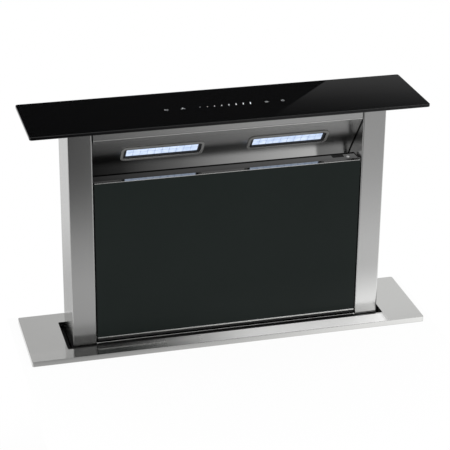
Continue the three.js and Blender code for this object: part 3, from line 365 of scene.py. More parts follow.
def applyModifiers(piece):
    graph = bpy.context.evaluated_depsgraph_get()
    mesh = bpy.data.meshes.new_from_object(piece.evaluated_get(graph))
    old = piece.data
    piece.modifiers.clear()
    piece.data = mesh
    bpy.data.meshes.remove(old)
    mesh.name = piece.name


def roundedBox(width, height, radius, middle=(0, 0), steps=5):
    corners = [(1, 1, 0), (-1, 1, 90), (-1, -1, 180), (1, -1, 270)]
    points = []
    for sx, sy, start in corners:
        cx, cy = middle[0] + sx * (width / 2 - radius), middle[1] + sy * (height / 2 - radius)
        for i in range(steps + 1):
            angle = math.radians(start + 90 * i / steps)
            points.append((cx + radius * math.cos(angle), cy + radius * math.sin(angle)))
    return points


def rectangle(x0, x1, y0, y1):
    return [(x0, y0), (x1, y0), (x1, y1), (x0, y1)]


# open path with its inner corners rounded
def roundPath(points, radius, steps=6):
    points = [Vector(p) for p in points]
    path = [points[0]]
    for i in range(1, len(points) - 1):
        before = (points[i - 1] - points[i]).normalized()
        after = (points[i + 1] - points[i]).normalized()
        half = before.angle(after) / 2
        reach = radius / math.tan(half)
        centre = points[i] + (before + after).normalized() * radius / math.sin(half)
        start, end = points[i] + before * reach - centre, points[i] + after * reach - centre
        for k in range(steps + 1):
            path.append(centre + start.slerp(end, k / steps) if k not in (0, steps) else centre + (start, end)[k > 0])
    path.append(points[-1])
    return path


# closed outline of a bent sheet, its thickness laid to the left of the path
def sheetOutline(path, thickness):
    offset = []
    for i, point in enumerate(path):
        normals = []
        for before, after in ((i - 1, i), (i, i + 1)):
            if before >= 0 and after < len(path):
                along = (path[after] - path[before]).normalized()
                normals.append(Vector((-along.y, along.x)))
        mean = sum(normals, Vector((0, 0))).normalized()
        offset.append(point + mean * thickness / mean.dot(normals[0]))
    return [tuple(p) for p in path] + [tuple(p) for p in reversed(offset)]


# prism of an outline between two levels; axes names the directions of outline x, outline y and height
def prism(name, outline, low, high, finish, axes="XYZ", frameMatrix=None, smoothAngle=limits["sheetSharp"]):
    shape = bmesh.new()
    order = ["XYZ".index(a) for a in axes]

    def place(x, y, height):
        point = [0, 0, 0]
        for value, axis in zip((x, y, height), order):
            point[axis] = value * mm
        return shape.verts.new(point)

    closedBetween(shape, *([place(x, y, level) for x, y in outline] for level in (low, high)))
    if frameMatrix is not None:
        shape.transform(frameMatrix)
    mesh = toMesh(name, shape)
    smooth(mesh, smoothAngle)
    return newPiece(name, mesh, finish)


def cutOut(piece, cutter):
    boolean = piece.modifiers.new("cut", "BOOLEAN")
    boolean.operation = "DIFFERENCE"
    boolean.solver = "EXACT"
    boolean.object = cutter
    applyModifiers(piece)
    bpy.data.objects.remove(cutter)


# normals that keep the large faces flat
def flattenFaces(piece):
    smooth(piece.data, limits["sheetSharp"])
    weights = piece.modifiers.new("flatFaces", "WEIGHTED_NORMAL")
    weights.weight = 100
    weights.keep_sharp = True
    applyModifiers(piece)


def softenEdges(piece, width, segments, angle=30, byWeight=False):
    piece.data.shade_smooth()
    bevel = piece.modifiers.new("edges", "BEVEL")
    bevel.width = width * mm
    bevel.segments = segments
    bevel.limit_method = "WEIGHT" if byWeight else "ANGLE"
    bevel.angle_limit = math.radians(angle)
    bevel.use_clamp_overlap = not byWeight
    applyModifiers(piece)
    flattenFaces(piece)


# turned unit along local Z from (radius, height) pairs in millimetres
def turnedMesh(name, profile, segments):
    shape = bmesh.new()
    angles = [2 * math.pi * i / segments for i in range(segments)]
    rings = [loop(shape, [(r * math.cos(a), r * math.sin(a)) for a in angles], h) for r, h in profile]
    for low, high in zip(rings, rings[1:]):
        bridge(shape, low, high)
    shape.faces.new(rings[0])
    shape.faces.new(rings[-1])
    return toMesh(name, shape)


# flat ring between two rounded outlines of equal point counts
def makeRing(name, outer, inner, low, high, finish, frameMatrix):
    shape = bmesh.new()
    corners = ((outer, low), (outer, high), (inner, high), (inner, low))
    loops = [loop(shape, outline, level) for outline, level in corners]
    for a, b in zip(loops, loops[1:] + loops[:1]):
        bridge(shape, a, b)
    shape.transform(frameMatrix)
    return fromBmesh(name, shape, finish)


def pathMesh(name, points):
    mesh = bpy.data.meshes.new(name)
    mesh.from_pydata([(x * mm, y * mm, 0) for x, y in points], [(i, i + 1) for i in range(len(points) - 1)], [])
    return mesh


# frame standing at a place in millimetres, its Z along a normal and its Y upwards (or along Y when lying)
def standing(place, normal):
    out = Vector(normal).normalized()
    up = Vector((0, 0, 1)) if abs(out.z) < 0.9 else Vector((0, 1, 0))
    turn = Matrix((up.cross(out), up, out)).transposed().to_4x4()
    return Matrix.Translation(Vector(place) * mm) @ turn


# geometry nodes: a unit, which is the object's own mesh, repeated in rows or round a circle, a bead on a path, and
# cones along one

grown = {"beadSides": 8, "headSides": 12, "coneTop": 0.72}

def newTree(name, sockets):
    tree = bpy.data.node_groups.new(name, "GeometryNodeTree")
    for label, kind in [("Geometry", "Geometry"), *sockets, ("Finish", "Material")]:
        tree.interface.new_socket(label, in_out="INPUT", socket_type="NodeSocket" + kind)
    tree.interface.new_socket("Geometry", in_out="OUTPUT", socket_type="NodeSocketGeometry")
    return tree, addNode(tree, "NodeGroupInput").outputs


def closeTree(tree, given, geometry):
    whole = addNode(tree, "GeometryNodeRealizeInstances", inputs={"Geometry": geometry})
    painted = addNode(tree, "GeometryNodeSetMaterial", inputs={
        "Geometry": whole.outputs["Geometry"], "Material": given["Finish"]})
    addNode(tree, "NodeGroupOutput", inputs={"Geometry": painted.outputs["Geometry"]})
    return tree


def onPoints(tree, points, instance, **more):
    return addNode(tree, "GeometryNodeInstanceOnPoints", inputs={
        "Points": points, "Instance": instance, **more}).outputs["Instances"]


def makeRowsTree():
    tree, given = newTree("rowsOfUnits", [("Columns", "Int"), ("Rows", "Int"), ("Across", "Float"), ("Up", "Float")])
    lines = []
    for count, pitch, axis in (("Columns", "Across", "X"), ("Rows", "Up", "Y")):
        step = addNode(tree, "ShaderNodeCombineXYZ", inputs={axis: given[pitch]}).outputs[0]
        back = times(tree, calculate(tree, "SUBTRACT", given[count], 1), -0.5)
        start = addNode(tree, "ShaderNodeVectorMath", {"operation": "SCALE"}, {"Vector": step, "Scale": back})
        lines.append(addNode(tree, "GeometryNodeMeshLine", inputs={
            "Count": given[count], "Start Location": start.outputs["Vector"], "Offset": step}).outputs["Mesh"])
    grid = addNode(tree, "GeometryNodeRealizeInstances", inputs={"Geometry": onPoints(tree, *lines)})
    return closeTree(tree, given, onPoints(tree, grid.outputs["Geometry"], given["Geometry"]))


def makeCircleTree():
    tree, given = newTree("circleOfUnits", [("Count", "Int"), ("Radius", "Float")])
    ring = addNode(tree, "GeometryNodeMeshCircle", inputs={"Vertices": given["Count"], "Radius": given["Radius"]})
    index = addNode(tree, "GeometryNodeInputIndex").outputs["Index"]
    angle = times(tree, index, calculate(tree, "DIVIDE", 2 * math.pi, given["Count"]))
    turn = addNode(tree, "ShaderNodeCombineXYZ", inputs={"Z": angle}).outputs[0]
    return closeTree(tree, given, onPoints(tree, ring.outputs["Mesh"], given["Geometry"], Rotation=turn))


def curveOf(tree, given):
    return addNode(tree, "GeometryNodeMeshToCurve", inputs={"Mesh": given["Geometry"]}).outputs["Curve"]


def makeBeadTree():
    tree, given = newTree("beadOnPath", [("Radius", "Float")])
    section = addNode(tree, "GeometryNodeCurvePrimitiveCircle", inputs={
        "Resolution": grown["beadSides"], "Radius": given["Radius"]})
    bead = addNode(tree, "GeometryNodeCurveToMesh", inputs={
        "Curve": curveOf(tree, given), "Profile Curve": section.outputs["Curve"], "Fill Caps": True})
    return closeTree(tree, given, bead.outputs["Mesh"])


def makePathTree():
    tree, given = newTree("unitsOnPath", [("Count", "Int"), ("Radius", "Float"), ("Height", "Float")])
    even = addNode(tree, "GeometryNodeResampleCurve", inputs={"Curve": curveOf(tree, given), "Count": given["Count"]})
    head = addNode(tree, "GeometryNodeMeshCone", inputs={
        "Vertices": grown["headSides"], "Radius Top": times(tree, given["Radius"], grown["coneTop"]),
        "Radius Bottom": given["Radius"], "Depth": given["Height"]})
    return closeTree(tree, given, onPoints(tree, even.outputs["Curve"], head.outputs["Mesh"]))


rowsTree, circleTree, beadTree, pathTree = makeRowsTree(), makeCircleTree(), makeBeadTree(), makePathTree()


# what each piece rides on, stands for and is made of

bodyOf = {node: body for body, nodes in frame["record"]["behaviour"]["bodies"].items() for node in nodes}


def pieceName(node):
    head, *rest = node.split("_")
    return head + "".join(word.capitalize() for word in rest)


def rideWith(piece, node):
    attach(piece, bodyOf[node])


def finishPiece(piece, node):
    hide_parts(node)
    rideWith(piece, node)


# a prism that only the scene has, riding with a node
def addTrim(name, outline, low, high, finish, node, slotName, axes="YZX", smoothAngle=limits["sheetSharp"]):
    rideWith(prism(name, outline, low, high, finish, axes, smoothAngle=smoothAngle), node)


# grows a mesh through a tree, bakes it and sets it in its frame
def grow(name, mesh, tree, values, frameMatrix, finish, node):
    piece = newPiece(name, mesh, finish)
    grower = piece.modifiers.new("grow", "NODES")
    grower.node_group = tree
    values = {**values, "Finish": finishes[finish]}
    for item in tree.interface.items_tree:
        if item.in_out == "INPUT" and item.name in values:
            grower[item.identifier] = values[item.name]
    applyModifiers(piece)
    piece.data.transform(frameMatrix)
    smooth(piece.data, limits["turnedSharp"])
    rideWith(piece, node)


# a CAD node's form with its flat faces merged
def nodeShape(node):
    shape = bmesh.new()
    shape.from_mesh(frame["nodes"][node].data)
    bmesh.ops.remove_doubles(shape, verts=shape.verts, dist=limits["nodeWeld"])
    flat = math.radians(limits["flat"])
    bmesh.ops.dissolve_limit(shape, angle_limit=flat, verts=shape.verts, edges=shape.edges, delimit={"NORMAL"})
    return shape


def dressNode(node, finish, edge, segments):
    piece = newPiece(pieceName(node), toMesh(node, nodeShape(node), turnOut=False), finish)
    softenEdges(piece, edge, segments)
    finishPiece(piece, node)


dressed = {
    # nodes: finish, edge in mm, bevel segments, record slot
    "worktop_flange": ("flangeSteel", 0.5, 3, "brushed_stainless"),
    "front_glass": ("panelGlass", 0.5, 2, "dark_panel_glass"),
    "tower_back": ("postSteel", 0.2, 2, "brushed_stainless"),
    "front_skirt": ("trimSteel", 0.2, 2, "brushed_stainless"),
    "panel_carrier": ("sillSteel", 0.2, 2, "brushed_stainless"),
    "chassis_front chassis_back": ("galvanised", 0.3, 1, "galvanised_sheet"),
    "chassis_left chassis_right": ("galvanised", 0.2, 2, "galvanised_sheet"),
    "chassis_base": ("galvanised", 0.3, 2, "galvanised_sheet"),
    "seal_frame": ("galvanised", 0.3, 1, "galvanised_sheet"),
    "throat_seal flange_gasket": ("rubber", 0.6, 2, "black_rubber"),
    "left_foot right_foot": ("galvanised", 0.5, 2, "galvanised_sheet"),
    "left_worktop_clamp right_worktop_clamp": ("zincSteel", 0.4, 2, "galvanised_sheet"),
    "left_guide_rail right_guide_rail": ("aluminium", 0.2, 2, "aluminium"),
    "left_rack right_rack": ("nylon", 0.12, 1, "white_nylon"),
    "left_pinion right_pinion": ("nylon", 0.15, 1, "white_nylon"),
    "shaft_gear motor_pinion": ("nylon", 0.12, 1, "white_nylon"),
    "left_slide_shoe right_slide_shoe": ("nylon", 0.6, 2, "white_nylon"),
    "left_bearing right_bearing": ("blackPlastic", 0.6, 2, "black_plastic"),
    "drive_shaft": ("groundSteel", 0.4, 2, "ground_steel"),
    "lift_motor": ("blackPlastic", 0.8, 2, "black_plastic"),
    "carriage": ("galvanised", 0.4, 2, "galvanised_sheet"),
    "cap_carrier": ("galvanised", 0.3, 1, "galvanised_sheet"),
    "filter_channel": ("reflectorSteel", 0.2, 1, "galvanised_sheet"),
    "touch_control": ("blackPlastic", 0.8, 2, "black_plastic"),
    "left_lamp_bezel right_lamp_bezel": ("bezelSteel", 0.7, 3, "brushed_stainless"),
    "left_lamp_body right_lamp_body": ("blackPlastic", 0.3, 2, "black_plastic"),
    "left_grease_filter right_grease_filter": ("aluminium", 0.3, 1, "aluminium"),
    "scroll_housing": ("greyPlastic", 1.2, 3, "black_plastic"),
    "inlet_plate": ("galvanised", 0.3, 1, "galvanised_sheet"),
    "blower_impeller": ("blackPlastic", 0.15, 1, "black_plastic"),
    "blower_motor": ("castAluminium", 0.6, 2, "aluminium"),
    "outlet_adapter outlet_collar": ("greyPlastic", 0.5, 2, "black_plastic"),
    "front_flap rear_flap": ("blackPlastic", 0.3, 2, "black_plastic"),
    "control_box control_box_lid": ("galvanised", 0.6, 2, "galvanised_sheet"),
    "supply_gland": ("blackPlastic", 0.5, 2, "black_plastic"),
}

for nodes, (finish, edge, segments, slotName) in dressed.items():
    for node in nodes.split():
        dressNode(node, finish, edge, segments)
print("nodes dressed:", sum(len(nodes.split()) for nodes in dressed))


# posts: the CAD columns with their long outer corners rolled over

posts = {
    "cornerRadius": 2.6, "segments": 4, "longEdge": 300, "half": 40.5, "outer": 242, "inner": 206,
    "upright": 0.1, "near": 0.3, "otherEdges": 0.08,
}


def makePost(node, look):
    shape = nodeShape(node)
    weight = shape.edges.layers.float.new("bevel_weight_edge")
    for edge in shape.edges:
        a, b = (v.co / mm for v in edge.verts)
        middle = (a + b) / 2
        isLong = abs(a.z - b.z) > look["longEdge"] and max(abs(a.x - b.x), abs(a.y - b.y)) < look["upright"]
        onCorner = abs(abs(middle.y) - look["half"]) < look["near"] and any(
            abs(abs(middle.x) - look[face]) < look["near"] for face in ("outer", "inner"))
        edge[weight] = 1.0 if isLong and onCorner else look["otherEdges"]
    piece = newPiece(pieceName(node), toMesh(node, shape, turnOut=False), "postSteel")
    softenEdges(piece, look["cornerRadius"], look["segments"], byWeight=True)
    finishPiece(piece, node)


for node in ("left_post", "right_post"):
    makePost(node, posts)
print("posts made")


# lamp reflector: fascia, fold, slope and the curve that runs down behind the panel

reflector = {
    "frontFace": -40.5, "top": 1015.9, "topReturn": 14, "foldLevel": 998.5, "flatRun": 52.5, "tilt": 52,
    "curve": 70, "curveSteps": 24, "skirt": 10, "thickness": 1.0, "foldRadius": 2.2, "half": 204.5,
    "lampSpacing": 193, "lampDown": 44, "opening": (119, 30, 6), "cut": 6,
    "foldRod": (2.1, 2.1, 1.04), "foldProud": 1.0, "foldInset": 0.3,
}
slope = math.radians(reflector["tilt"])
slopeFrame = (
    Matrix.Translation((0, reflector["frontFace"] * mm, reflector["foldLevel"] * mm))
    @ Matrix.Rotation(math.pi - slope, 4, "X"))


def lampMiddle(side):
    return side * reflector["lampSpacing"] / 2, -reflector["lampDown"]


def makeReflector(look):
    front, fold, top, half = look["frontFace"], look["foldLevel"], look["top"], look["half"]
    end = Vector((front + look["flatRun"], fold - look["flatRun"] * math.tan(slope)))
    centre = end + Vector((-math.sin(slope), -math.cos(slope))) * look["curve"]
    path = roundPath([(front + look["topReturn"], top), (front, top), (front, fold), end], look["foldRadius"])
    steps = look["curveSteps"]
    for i in range(1, steps + 1):
        angle = (math.pi / 2 - slope) * (1 - i / steps)
        path.append(centre + Vector((math.cos(angle), math.sin(angle))) * look["curve"])
    path.append(path[-1] - Vector((0, look["skirt"])))
    piece = prism("lampReflector", sheetOutline(path, look["thickness"]), -half, half, "reflectorSteel", "YZX")
    for side in (-1, 1):
        opening = roundedBox(*look["opening"], lampMiddle(side))
        cutOut(piece, prism("lampCut", opening, -look["cut"], look["cut"], "reflectorSteel", frameMatrix=slopeFrame))
    flattenFaces(piece)
    finishPiece(piece, "lamp_reflector")
    half -= look["foldInset"]
    addTrim("foldLine", roundedBox(*look["foldRod"], (front + look["foldProud"], fold), 3), -half, half,
            "trimSteel", "lamp_reflector", "brushed_stainless")


makeReflector(reflector)
print("reflector made")


# lamps: frosted plate with two rows of light cells moulded on it, and a dark mask round it

lamp = {
    "plate": (109, 20, 1.2), "recess": 1.0, "thickness": 3.0, "cells": (10, 2), "cellSize": (10.1, 9.2, 0.6),
    "cellCorners": (1.5, 1), "cellTaper": 2.4,
    "maskOuter": (118.2, 29.2, 5.4), "maskInner": (108.6, 19.8, 1.2), "maskLevel": (-1.5, -0.7),
}


def makeLamp(sideName, look):
    node, middle = sideName + "_lamp_lens", lampMiddle(-1 if sideName == "left" else 1)
    width, height, radius = look["plate"]
    across, rows = look["cells"]
    sx, sy, sz = look["cellSize"]
    face = -look["recess"] - sz
    plate = prism(pieceName(node), roundedBox(width, height, radius, middle, 2), -look["recess"] - look["thickness"],
                  face, "lampGlow", frameMatrix=slopeFrame)
    finishPiece(plate, node)
    shape = bmesh.new()
    low, high = look["cellCorners"]
    taper = look["cellTaper"]
    closedBetween(
        shape, loop(shape, roundedBox(sx, sy, low, steps=2), 0),
        loop(shape, roundedBox(sx - taper, sy - taper, high, steps=2), sz))
    cells = pieceName(node) + "Cells"
    grow(cells, toMesh(cells, shape), rowsTree,
         {"Columns": across, "Rows": rows, "Across": width / across * mm, "Up": height / rows * mm},
         slopeFrame @ Matrix.Translation(Vector((*middle, face)) * mm), "cellGlow", node)
    mask = makeRing("lampMask" + sideName.capitalize(), roundedBox(*look["maskOuter"], middle, 4),
                    roundedBox(*look["maskInner"], middle, 4), *look["maskLevel"], "rubber", slopeFrame)
    rideWith(mask, sideName + "_lamp_body")


for sideName in ("left", "right"):
    makeLamp(sideName, lamp)
print("lamps made")


# polished strip on the sill, its steel darkened as painted shade, rolled down over the top edge of the glass, with a
# bright rod along its nose as a painted highlight, a latch and a screw

sill = {
    "half": 203.6, "back": -10.8, "chamfer": 0.3, "rollStart": -26, "rollRadius": 36, "rollSteps": 12, "sharp": 30,
    "nose": -38.9, "top": 932.9, "seat": 930.3, "tuck": 0.05, "edge": (0.8, 0.8, 0.3), "edgeProud": 0.15,
    "edgeLevel": 930.98, "latch": (18, 11, 1.5), "latchPlace": (174, -20.5), "latchLevel": (-0.05, 0.3),
    "screwPlace": (188.5, -27), "screwSize": (2.7, 2.7, 1.2), "screwSides": (12, 6),
}


def makeSill(look):
    back, top, seat, half = look["back"], look["top"], look["seat"], look["half"]
    path = [(back, seat), (back, top - look["chamfer"]), (back - look["chamfer"], top)]
    start, radius, steps = look["rollStart"], look["rollRadius"], look["rollSteps"]
    reach = math.asin((start - look["nose"]) / radius)
    for i in range(steps + 1):
        angle = reach * i / steps
        path.append((start - radius * math.sin(angle), top - radius * (1 - math.cos(angle))))
    path.append((path[-1][0], seat - look["tuck"]))
    addTrim("sillStrip", path, -half, half, "sillSteel", "panel_carrier", "brushed_stainless",
            smoothAngle=look["sharp"])
    low, high = look["latchLevel"]
    addTrim("sillLatch", roundedBox(*look["latch"], look["latchPlace"], 3), top + low, top + high,
            "rubber", "panel_carrier", "black_plastic", "XYZ")
    # bright steel rod along the nose: a painted highlight of the rolled edge
    edgeMiddle = (look["nose"] - look["edgeProud"], look["edgeLevel"])
    addTrim("sillEdgeHighlight", roundedBox(*look["edge"], edgeMiddle, 3), -half, half,
            "trimSteel", "panel_carrier", "brushed_stainless", smoothAngle=look["sharp"])
    shape = bmesh.new()
    around, upwards = look["screwSides"]
    bmesh.ops.create_uvsphere(shape, u_segments=around, v_segments=upwards, radius=1)
    bmesh.ops.scale(shape, vec=Vector(look["screwSize"]) * mm, verts=shape.verts)
    bmesh.ops.translate(shape, vec=Vector((*look["screwPlace"], top)) * mm, verts=shape.verts)
    rideWith(fromBmesh("sillScrew", shape, "satinRim"), "panel_carrier")


makeSill(sill)


# foot of the front: black band and bright trim on the glass, thin black strips on the skirt and along the front of the
# slot

foot = {
    "half": 204, "band": (673.7, 677.0), "bandProud": 0.15, "trim": (676.9, 679.3), "trimDepth": 1.3,
    "trimRadius": 0.6, "trimProud": 0.35, "glassFace": -39.45, "wiper": (669.0, 670.6), "skirtStripProud": 0.3,
    "skirtFace": -40.45, "lip": (-251, 206, -46.2, -43.6), "slotStripLevel": (668.4, 668.7),
}


def makeFoot(look):
    half, glass, skirt = look["half"], look["glassFace"], look["skirtFace"]
    addTrim("glassBand", rectangle(glass - look["bandProud"], glass, *look["band"]), -half, half,
            "rubber", "front_glass", "black_rubber")
    low, high = look["trim"]
    middle = (glass - look["trimProud"], (low + high) / 2)
    addTrim("glassTrim", roundedBox(look["trimDepth"], high - low, look["trimRadius"], middle, 4), -half, half,
            "trimSteel", "front_glass", "brushed_stainless")
    addTrim("skirtBlackStrip", rectangle(skirt - look["skirtStripProud"], skirt, *look["wiper"]), -half, half,
            "rubber", "front_skirt", "black_rubber")
    addTrim("slotBlackStrip", rectangle(*look["lip"]), *look["slotStripLevel"], "rubber", "worktop_flange", "black_rubber", "XYZ")


makeFoot(foot)
print("sill and foot made")


# cap: black glass with a ground bevel all round and printed touch signs

cap = {"outline": (600, 139, 4), "bottom": 1018.5, "top": 1023.46, "bevel": 1.1}


def makeCap(look):
    outline = roundedBox(*look["outline"], steps=6)
    piece = prism("glassCap", outline, look["bottom"], look["top"], "capGlass")
    softenEdges(piece, look["bevel"], 3, angle=60)
    finishPiece(piece, "glass_cap")


makeCap(cap)

signs = {
    "level": (1023.46, 1023.5), "row": -4, "line": 0.42,
    "lamp": {"x": -88, "radius": 2.5, "arc": (-50, 230, 12), "baseHalf": 1.4, "baseDrop": 0.6},
    "fan": {"x": -63, "blade": 3.4, "width": 0.8, "angles": (90, 210, 330)},
    "clock": {"x": 65, "radius": 2.2, "arc": (0, 360, 14)},
    "power": {"x": 90, "radius": 2.2, "arc": (115, 425, 12), "barFrom": 0.8, "barPast": 1.2},
    "slider": {
        "first": -37, "pitch": 11, "count": 8, "shortest": 1.1, "longest": 8.2, "width": 1.2, "lean": 12,
        "thinnest": 0.8, "thicker": 0.35},
}


def makeSigns(look):
    shape = bmesh.new()
    row, line = look["row"], look["line"]

    def slab(points):
        closedBetween(shape, *(loop(shape, points, level) for level in look["level"]))

    def stroke(a, b, width=line):
        a, b = Vector(a), Vector(b)
        side = (b - a).normalized().orthogonal() * width / 2
        slab([a - side, b - side, b + side, a + side])

    def arc(sign):
        start, end, steps = sign["arc"]
        for i in range(steps):
            a0, a1 = (math.radians(start + (end - start) * (i + j) / steps) for j in (0, 1))
            slab([(sign["x"] + (sign["radius"] + w) * math.cos(a), row + (sign["radius"] + w) * math.sin(a))
                  for a, w in ((a0, -line / 2), (a1, -line / 2), (a1, line / 2), (a0, line / 2))])

    bulb, fan, clock, power = (look[name] for name in ("lamp", "fan", "clock", "power"))
    arc(bulb)
    base = row - bulb["radius"] - bulb["baseDrop"]
    stroke((bulb["x"] - bulb["baseHalf"], base), (bulb["x"] + bulb["baseHalf"], base))
    for angle in map(math.radians, fan["angles"]):
        tip = (fan["x"] + fan["blade"] * math.cos(angle), row + fan["blade"] * math.sin(angle))
        stroke((fan["x"], row), tip, fan["width"])
    arc(clock)
    stroke((clock["x"], row), (clock["x"], row + clock["radius"]))
    arc(power)
    stroke((power["x"], row + power["barFrom"]), (power["x"], row + power["radius"] + power["barPast"]))
    slider = look["slider"]
    lean = math.radians(slider["lean"])
    for i in range(slider["count"]):
        share = i / (slider["count"] - 1)
        length = slider["shortest"] + (slider["longest"] - slider["shortest"]) * share
        middle = Vector((slider["first"] + i * slider["pitch"], row))
        half = Vector((math.sin(lean), math.cos(lean))) * length / 2
        stroke(middle - half, middle + half, slider["width"] * (slider["thinnest"] + slider["thicker"] * share))
    rideWith(newPiece("touchSigns", toMesh("touchSigns", shape), "printWithPaintedGlow"), "glass_cap")


makeSigns(signs)
print("cap made")


# screws and seams of the hidden half

screwHead = [(1.0, 0.0), (1.0, 0.35), (0.82, 0.8), (0.5, 1.0), (0.42, 0.35), (0.1, 0.3)]
zincSlot = "galvanised_sheet"
screwRows = {
    # name: node, slot, middle in mm, normal, (columns, rows), (pitch across, up), head radius, height
    "frontScrews": ("chassis_front", zincSlot, (0, -53.8, 326), (0, -1, 0), (2, 7), (506, 92), 3.6, 2.2),
    "backScrews": ("chassis_back", zincSlot, (0, 53.8, 326), (0, 1, 0), (2, 7), (506, 92), 3.6, 2.2),
    "leftFootScrews": ("left_foot", zincSlot, (-262.8, -2, 30), (-1, 0, 0), (3, 1), (38, 0), 5, 3.4),
    "rightFootScrews": ("right_foot", zincSlot, (262.8, -2, 30), (1, 0, 0), (3, 1), (38, 0), 5, 3.4),
    "leftClampScrews": ("left_worktop_clamp", zincSlot, (-262.3, 0, 553), (-1, 0, 0), (2, 1), (22, 0), 3.6, 2.4),
    "rightClampScrews": ("right_worktop_clamp", zincSlot, (262.3, 0, 553), (1, 0, 0), (2, 1), (22, 0), 3.6, 2.4),
    "lidScrews": ("control_box_lid", zincSlot, (-156, -98.9, 398), (0, -1, 0), (2, 2), (162, 104), 3, 1.8),
    "towerBackScrews": ("tower_back", "brushed_stainless", (0, 40.5, 800), (0, 1, 0), (2, 6), (356, 68), 2.6, 0.7),
}
screwRings = {
    # name: node, slot, centre, normal, count, ring radius, head radius, height
    "motorFlangeScrews": ("blower_motor", "aluminium", (-42, -157.2, 188), (0, -1, 0), 6, 48.3, 3, 2.2),
    "motorEndScrews": ("blower_motor", "aluminium", (-42, -216.1, 188), (0, -1, 0), 4, 29, 2.4, 1.2),
    "collarScrews": ("outlet_collar", "black_plastic", (157.1, -127.3, 91.1), (1, 0, 0), 8, 67.2, 2.6, 2.2),
}


def growScrews(name, tree, values, place, normal, radius, height, node):
    unit = turnedMesh(name, [(r * radius, h * height) for r, h in screwHead], grown["headSides"])
    grow(name, unit, tree, values, standing(place, normal), "zincSteel", node)


for name, (node, slotName, place, normal, (columns, rows), (across, up), radius, height) in screwRows.items():
    growScrews(name, rowsTree, {"Columns": columns, "Rows": rows, "Across": across * mm, "Up": up * mm},
               place, normal, radius, height, node)
for name, (node, slotName, place, normal, count, ring, radius, height) in screwRings.items():
    growScrews(name, circleTree, {"Count": count, "Radius": ring * mm}, place, normal, radius, height, node)

# the spiral of the housing, as in the CAD
scroll = {
    "centre": (-42, 188), "start": 78, "growth": 72, "wall": 2.2, "tongue": -50, "mouth": 88, "front": -153.9,
    "steps": 36, "beadInset": -0.9, "beadRadius": 1.7, "screwInset": -7, "screws": 11, "screw": (2.8, 2.0),
}


def spiral(look, inset):
    cx, cz = look["centre"]
    tongue, bottom = math.radians(look["tongue"]), 1.5 * math.pi
    points = []
    for i in range(look["steps"] + 1):
        turn = i / look["steps"]
        radius = look["start"] + look["growth"] * turn + look["wall"] + inset
        angle = tongue + (bottom - tongue) * turn
        points.append((cx + radius * math.cos(angle), cz + radius * math.sin(angle)))
    points.append((look["mouth"], cz - look["start"] - look["growth"] - look["wall"] - inset))
    return points


def makeScrollSeam(look):
    onFront = standing((0, look["front"], 0), (0, -1, 0))
    radius, height = look["screw"]
    for name, inset, tree, finish, values in (
            ("scrollBead", "beadInset", beadTree, "greyPlastic", {"Radius": look["beadRadius"] * mm}),
            ("scrollScrews", "screwInset", pathTree, "zincSteel",
             {"Count": look["screws"], "Radius": radius * mm, "Height": height * mm})):
        grow(name, pathMesh(name, spiral(look, look[inset])), tree, values, onFront, finish,
             "scroll_housing")


makeScrollSeam(scroll)
print("screws and seams made")


# studio: worktop board, floor, cards that only reflections see, lamps

studio = {
    "boardTop": 0.6597, "boardThickness": 0.028, "boardReach": (-0.325, 0.325, -0.44, 0.092),
    "boardHole": (0.297, 0.061), "undercut": 36, "boardShade": 0.06, "boardFade": (0.3, 0.5),
    "floorReach": 9, "floorShade": 0.3, "floorFade": (0.35, 1.0), "plain": (0.9, 0.9, 0.9, 1),
    "worldDiffuse": 0.85,
    "aim": (0, 0, 0.7),
    "lights": {
        # name: place, side of the square, power
        "keyLight": ((1.6, -1.8, 2.6), 1.6, 26),
        "fillLight": ((-2.2, -1.2, 1.9), 1.4, 12),
    },
}


# 1 for rays from the camera, a reflection or clear glass
def seenDirectly(tree):
    rays = addNode(tree, "ShaderNodeLightPath").outputs
    seen = calculate(tree, "MAXIMUM", rays["Is Camera Ray"], rays["Is Glossy Ray"])
    return calculate(tree, "MAXIMUM", seen, rays["Is Transmission Ray"])


def makeWorld(look):
    world = bpy.data.worlds.new("studioWorld")
    scene.world = world
    world.use_nodes = True
    tree = world.node_tree
    feed(tree, tree.nodes["Background"], {
        "Color": (1, 1, 1, 1), "Strength": spread(tree, seenDirectly(tree), look["worldDiffuse"], 1, 0, 1)})


# white for the camera and for reflections, with the shadow kept near the object
def makeStageMaterial(name, share, reach):
    material, tree, out = startBare(name)
    diffuse = addNode(tree, "ShaderNodeBsdfDiffuse", inputs={"Color": studio["plain"]})
    glow = addNode(tree, "ShaderNodeEmission", inputs={"Color": (1, 1, 1, 1)})
    length = addNode(tree, "ShaderNodeVectorMath", {"operation": "LENGTH"}, {0: objectPattern(tree, (1, 1, 0))})
    fade = spread(tree, length.outputs["Value"], 1 - share, 1, *reach, "SMOOTHSTEP")
    mix = addNode(tree, "ShaderNodeMixShader", inputs={
        "Fac": times(tree, fade, seenDirectly(tree)),
        1: diffuse.outputs["BSDF"], 2: glow.outputs["Emission"]})
    feed(tree, out, {"Surface": mix.outputs["Shader"]})
    return material


def stagePiece(name, mesh, *materials):
    for material in materials:
        mesh.materials.append(material)
    piece = bpy.data.objects.new(name, mesh)
    scene.collection.objects.link(piece)
    return piece


def flatPiece(name, corners, material):
    mesh = bpy.data.meshes.new(name)
    mesh.from_pydata([Vector(c) for c in corners], [], [tuple(range(len(corners)))])
    return stagePiece(name, mesh, material)


def makeFloor(look):
    reach = look["floorReach"]
    flatPiece("floor", [(x, y, 0) for x, y in rectangle(-reach, reach, -reach, reach)],
              makeStageMaterial("floorWhite", look["floorShade"], look["floorFade"]))


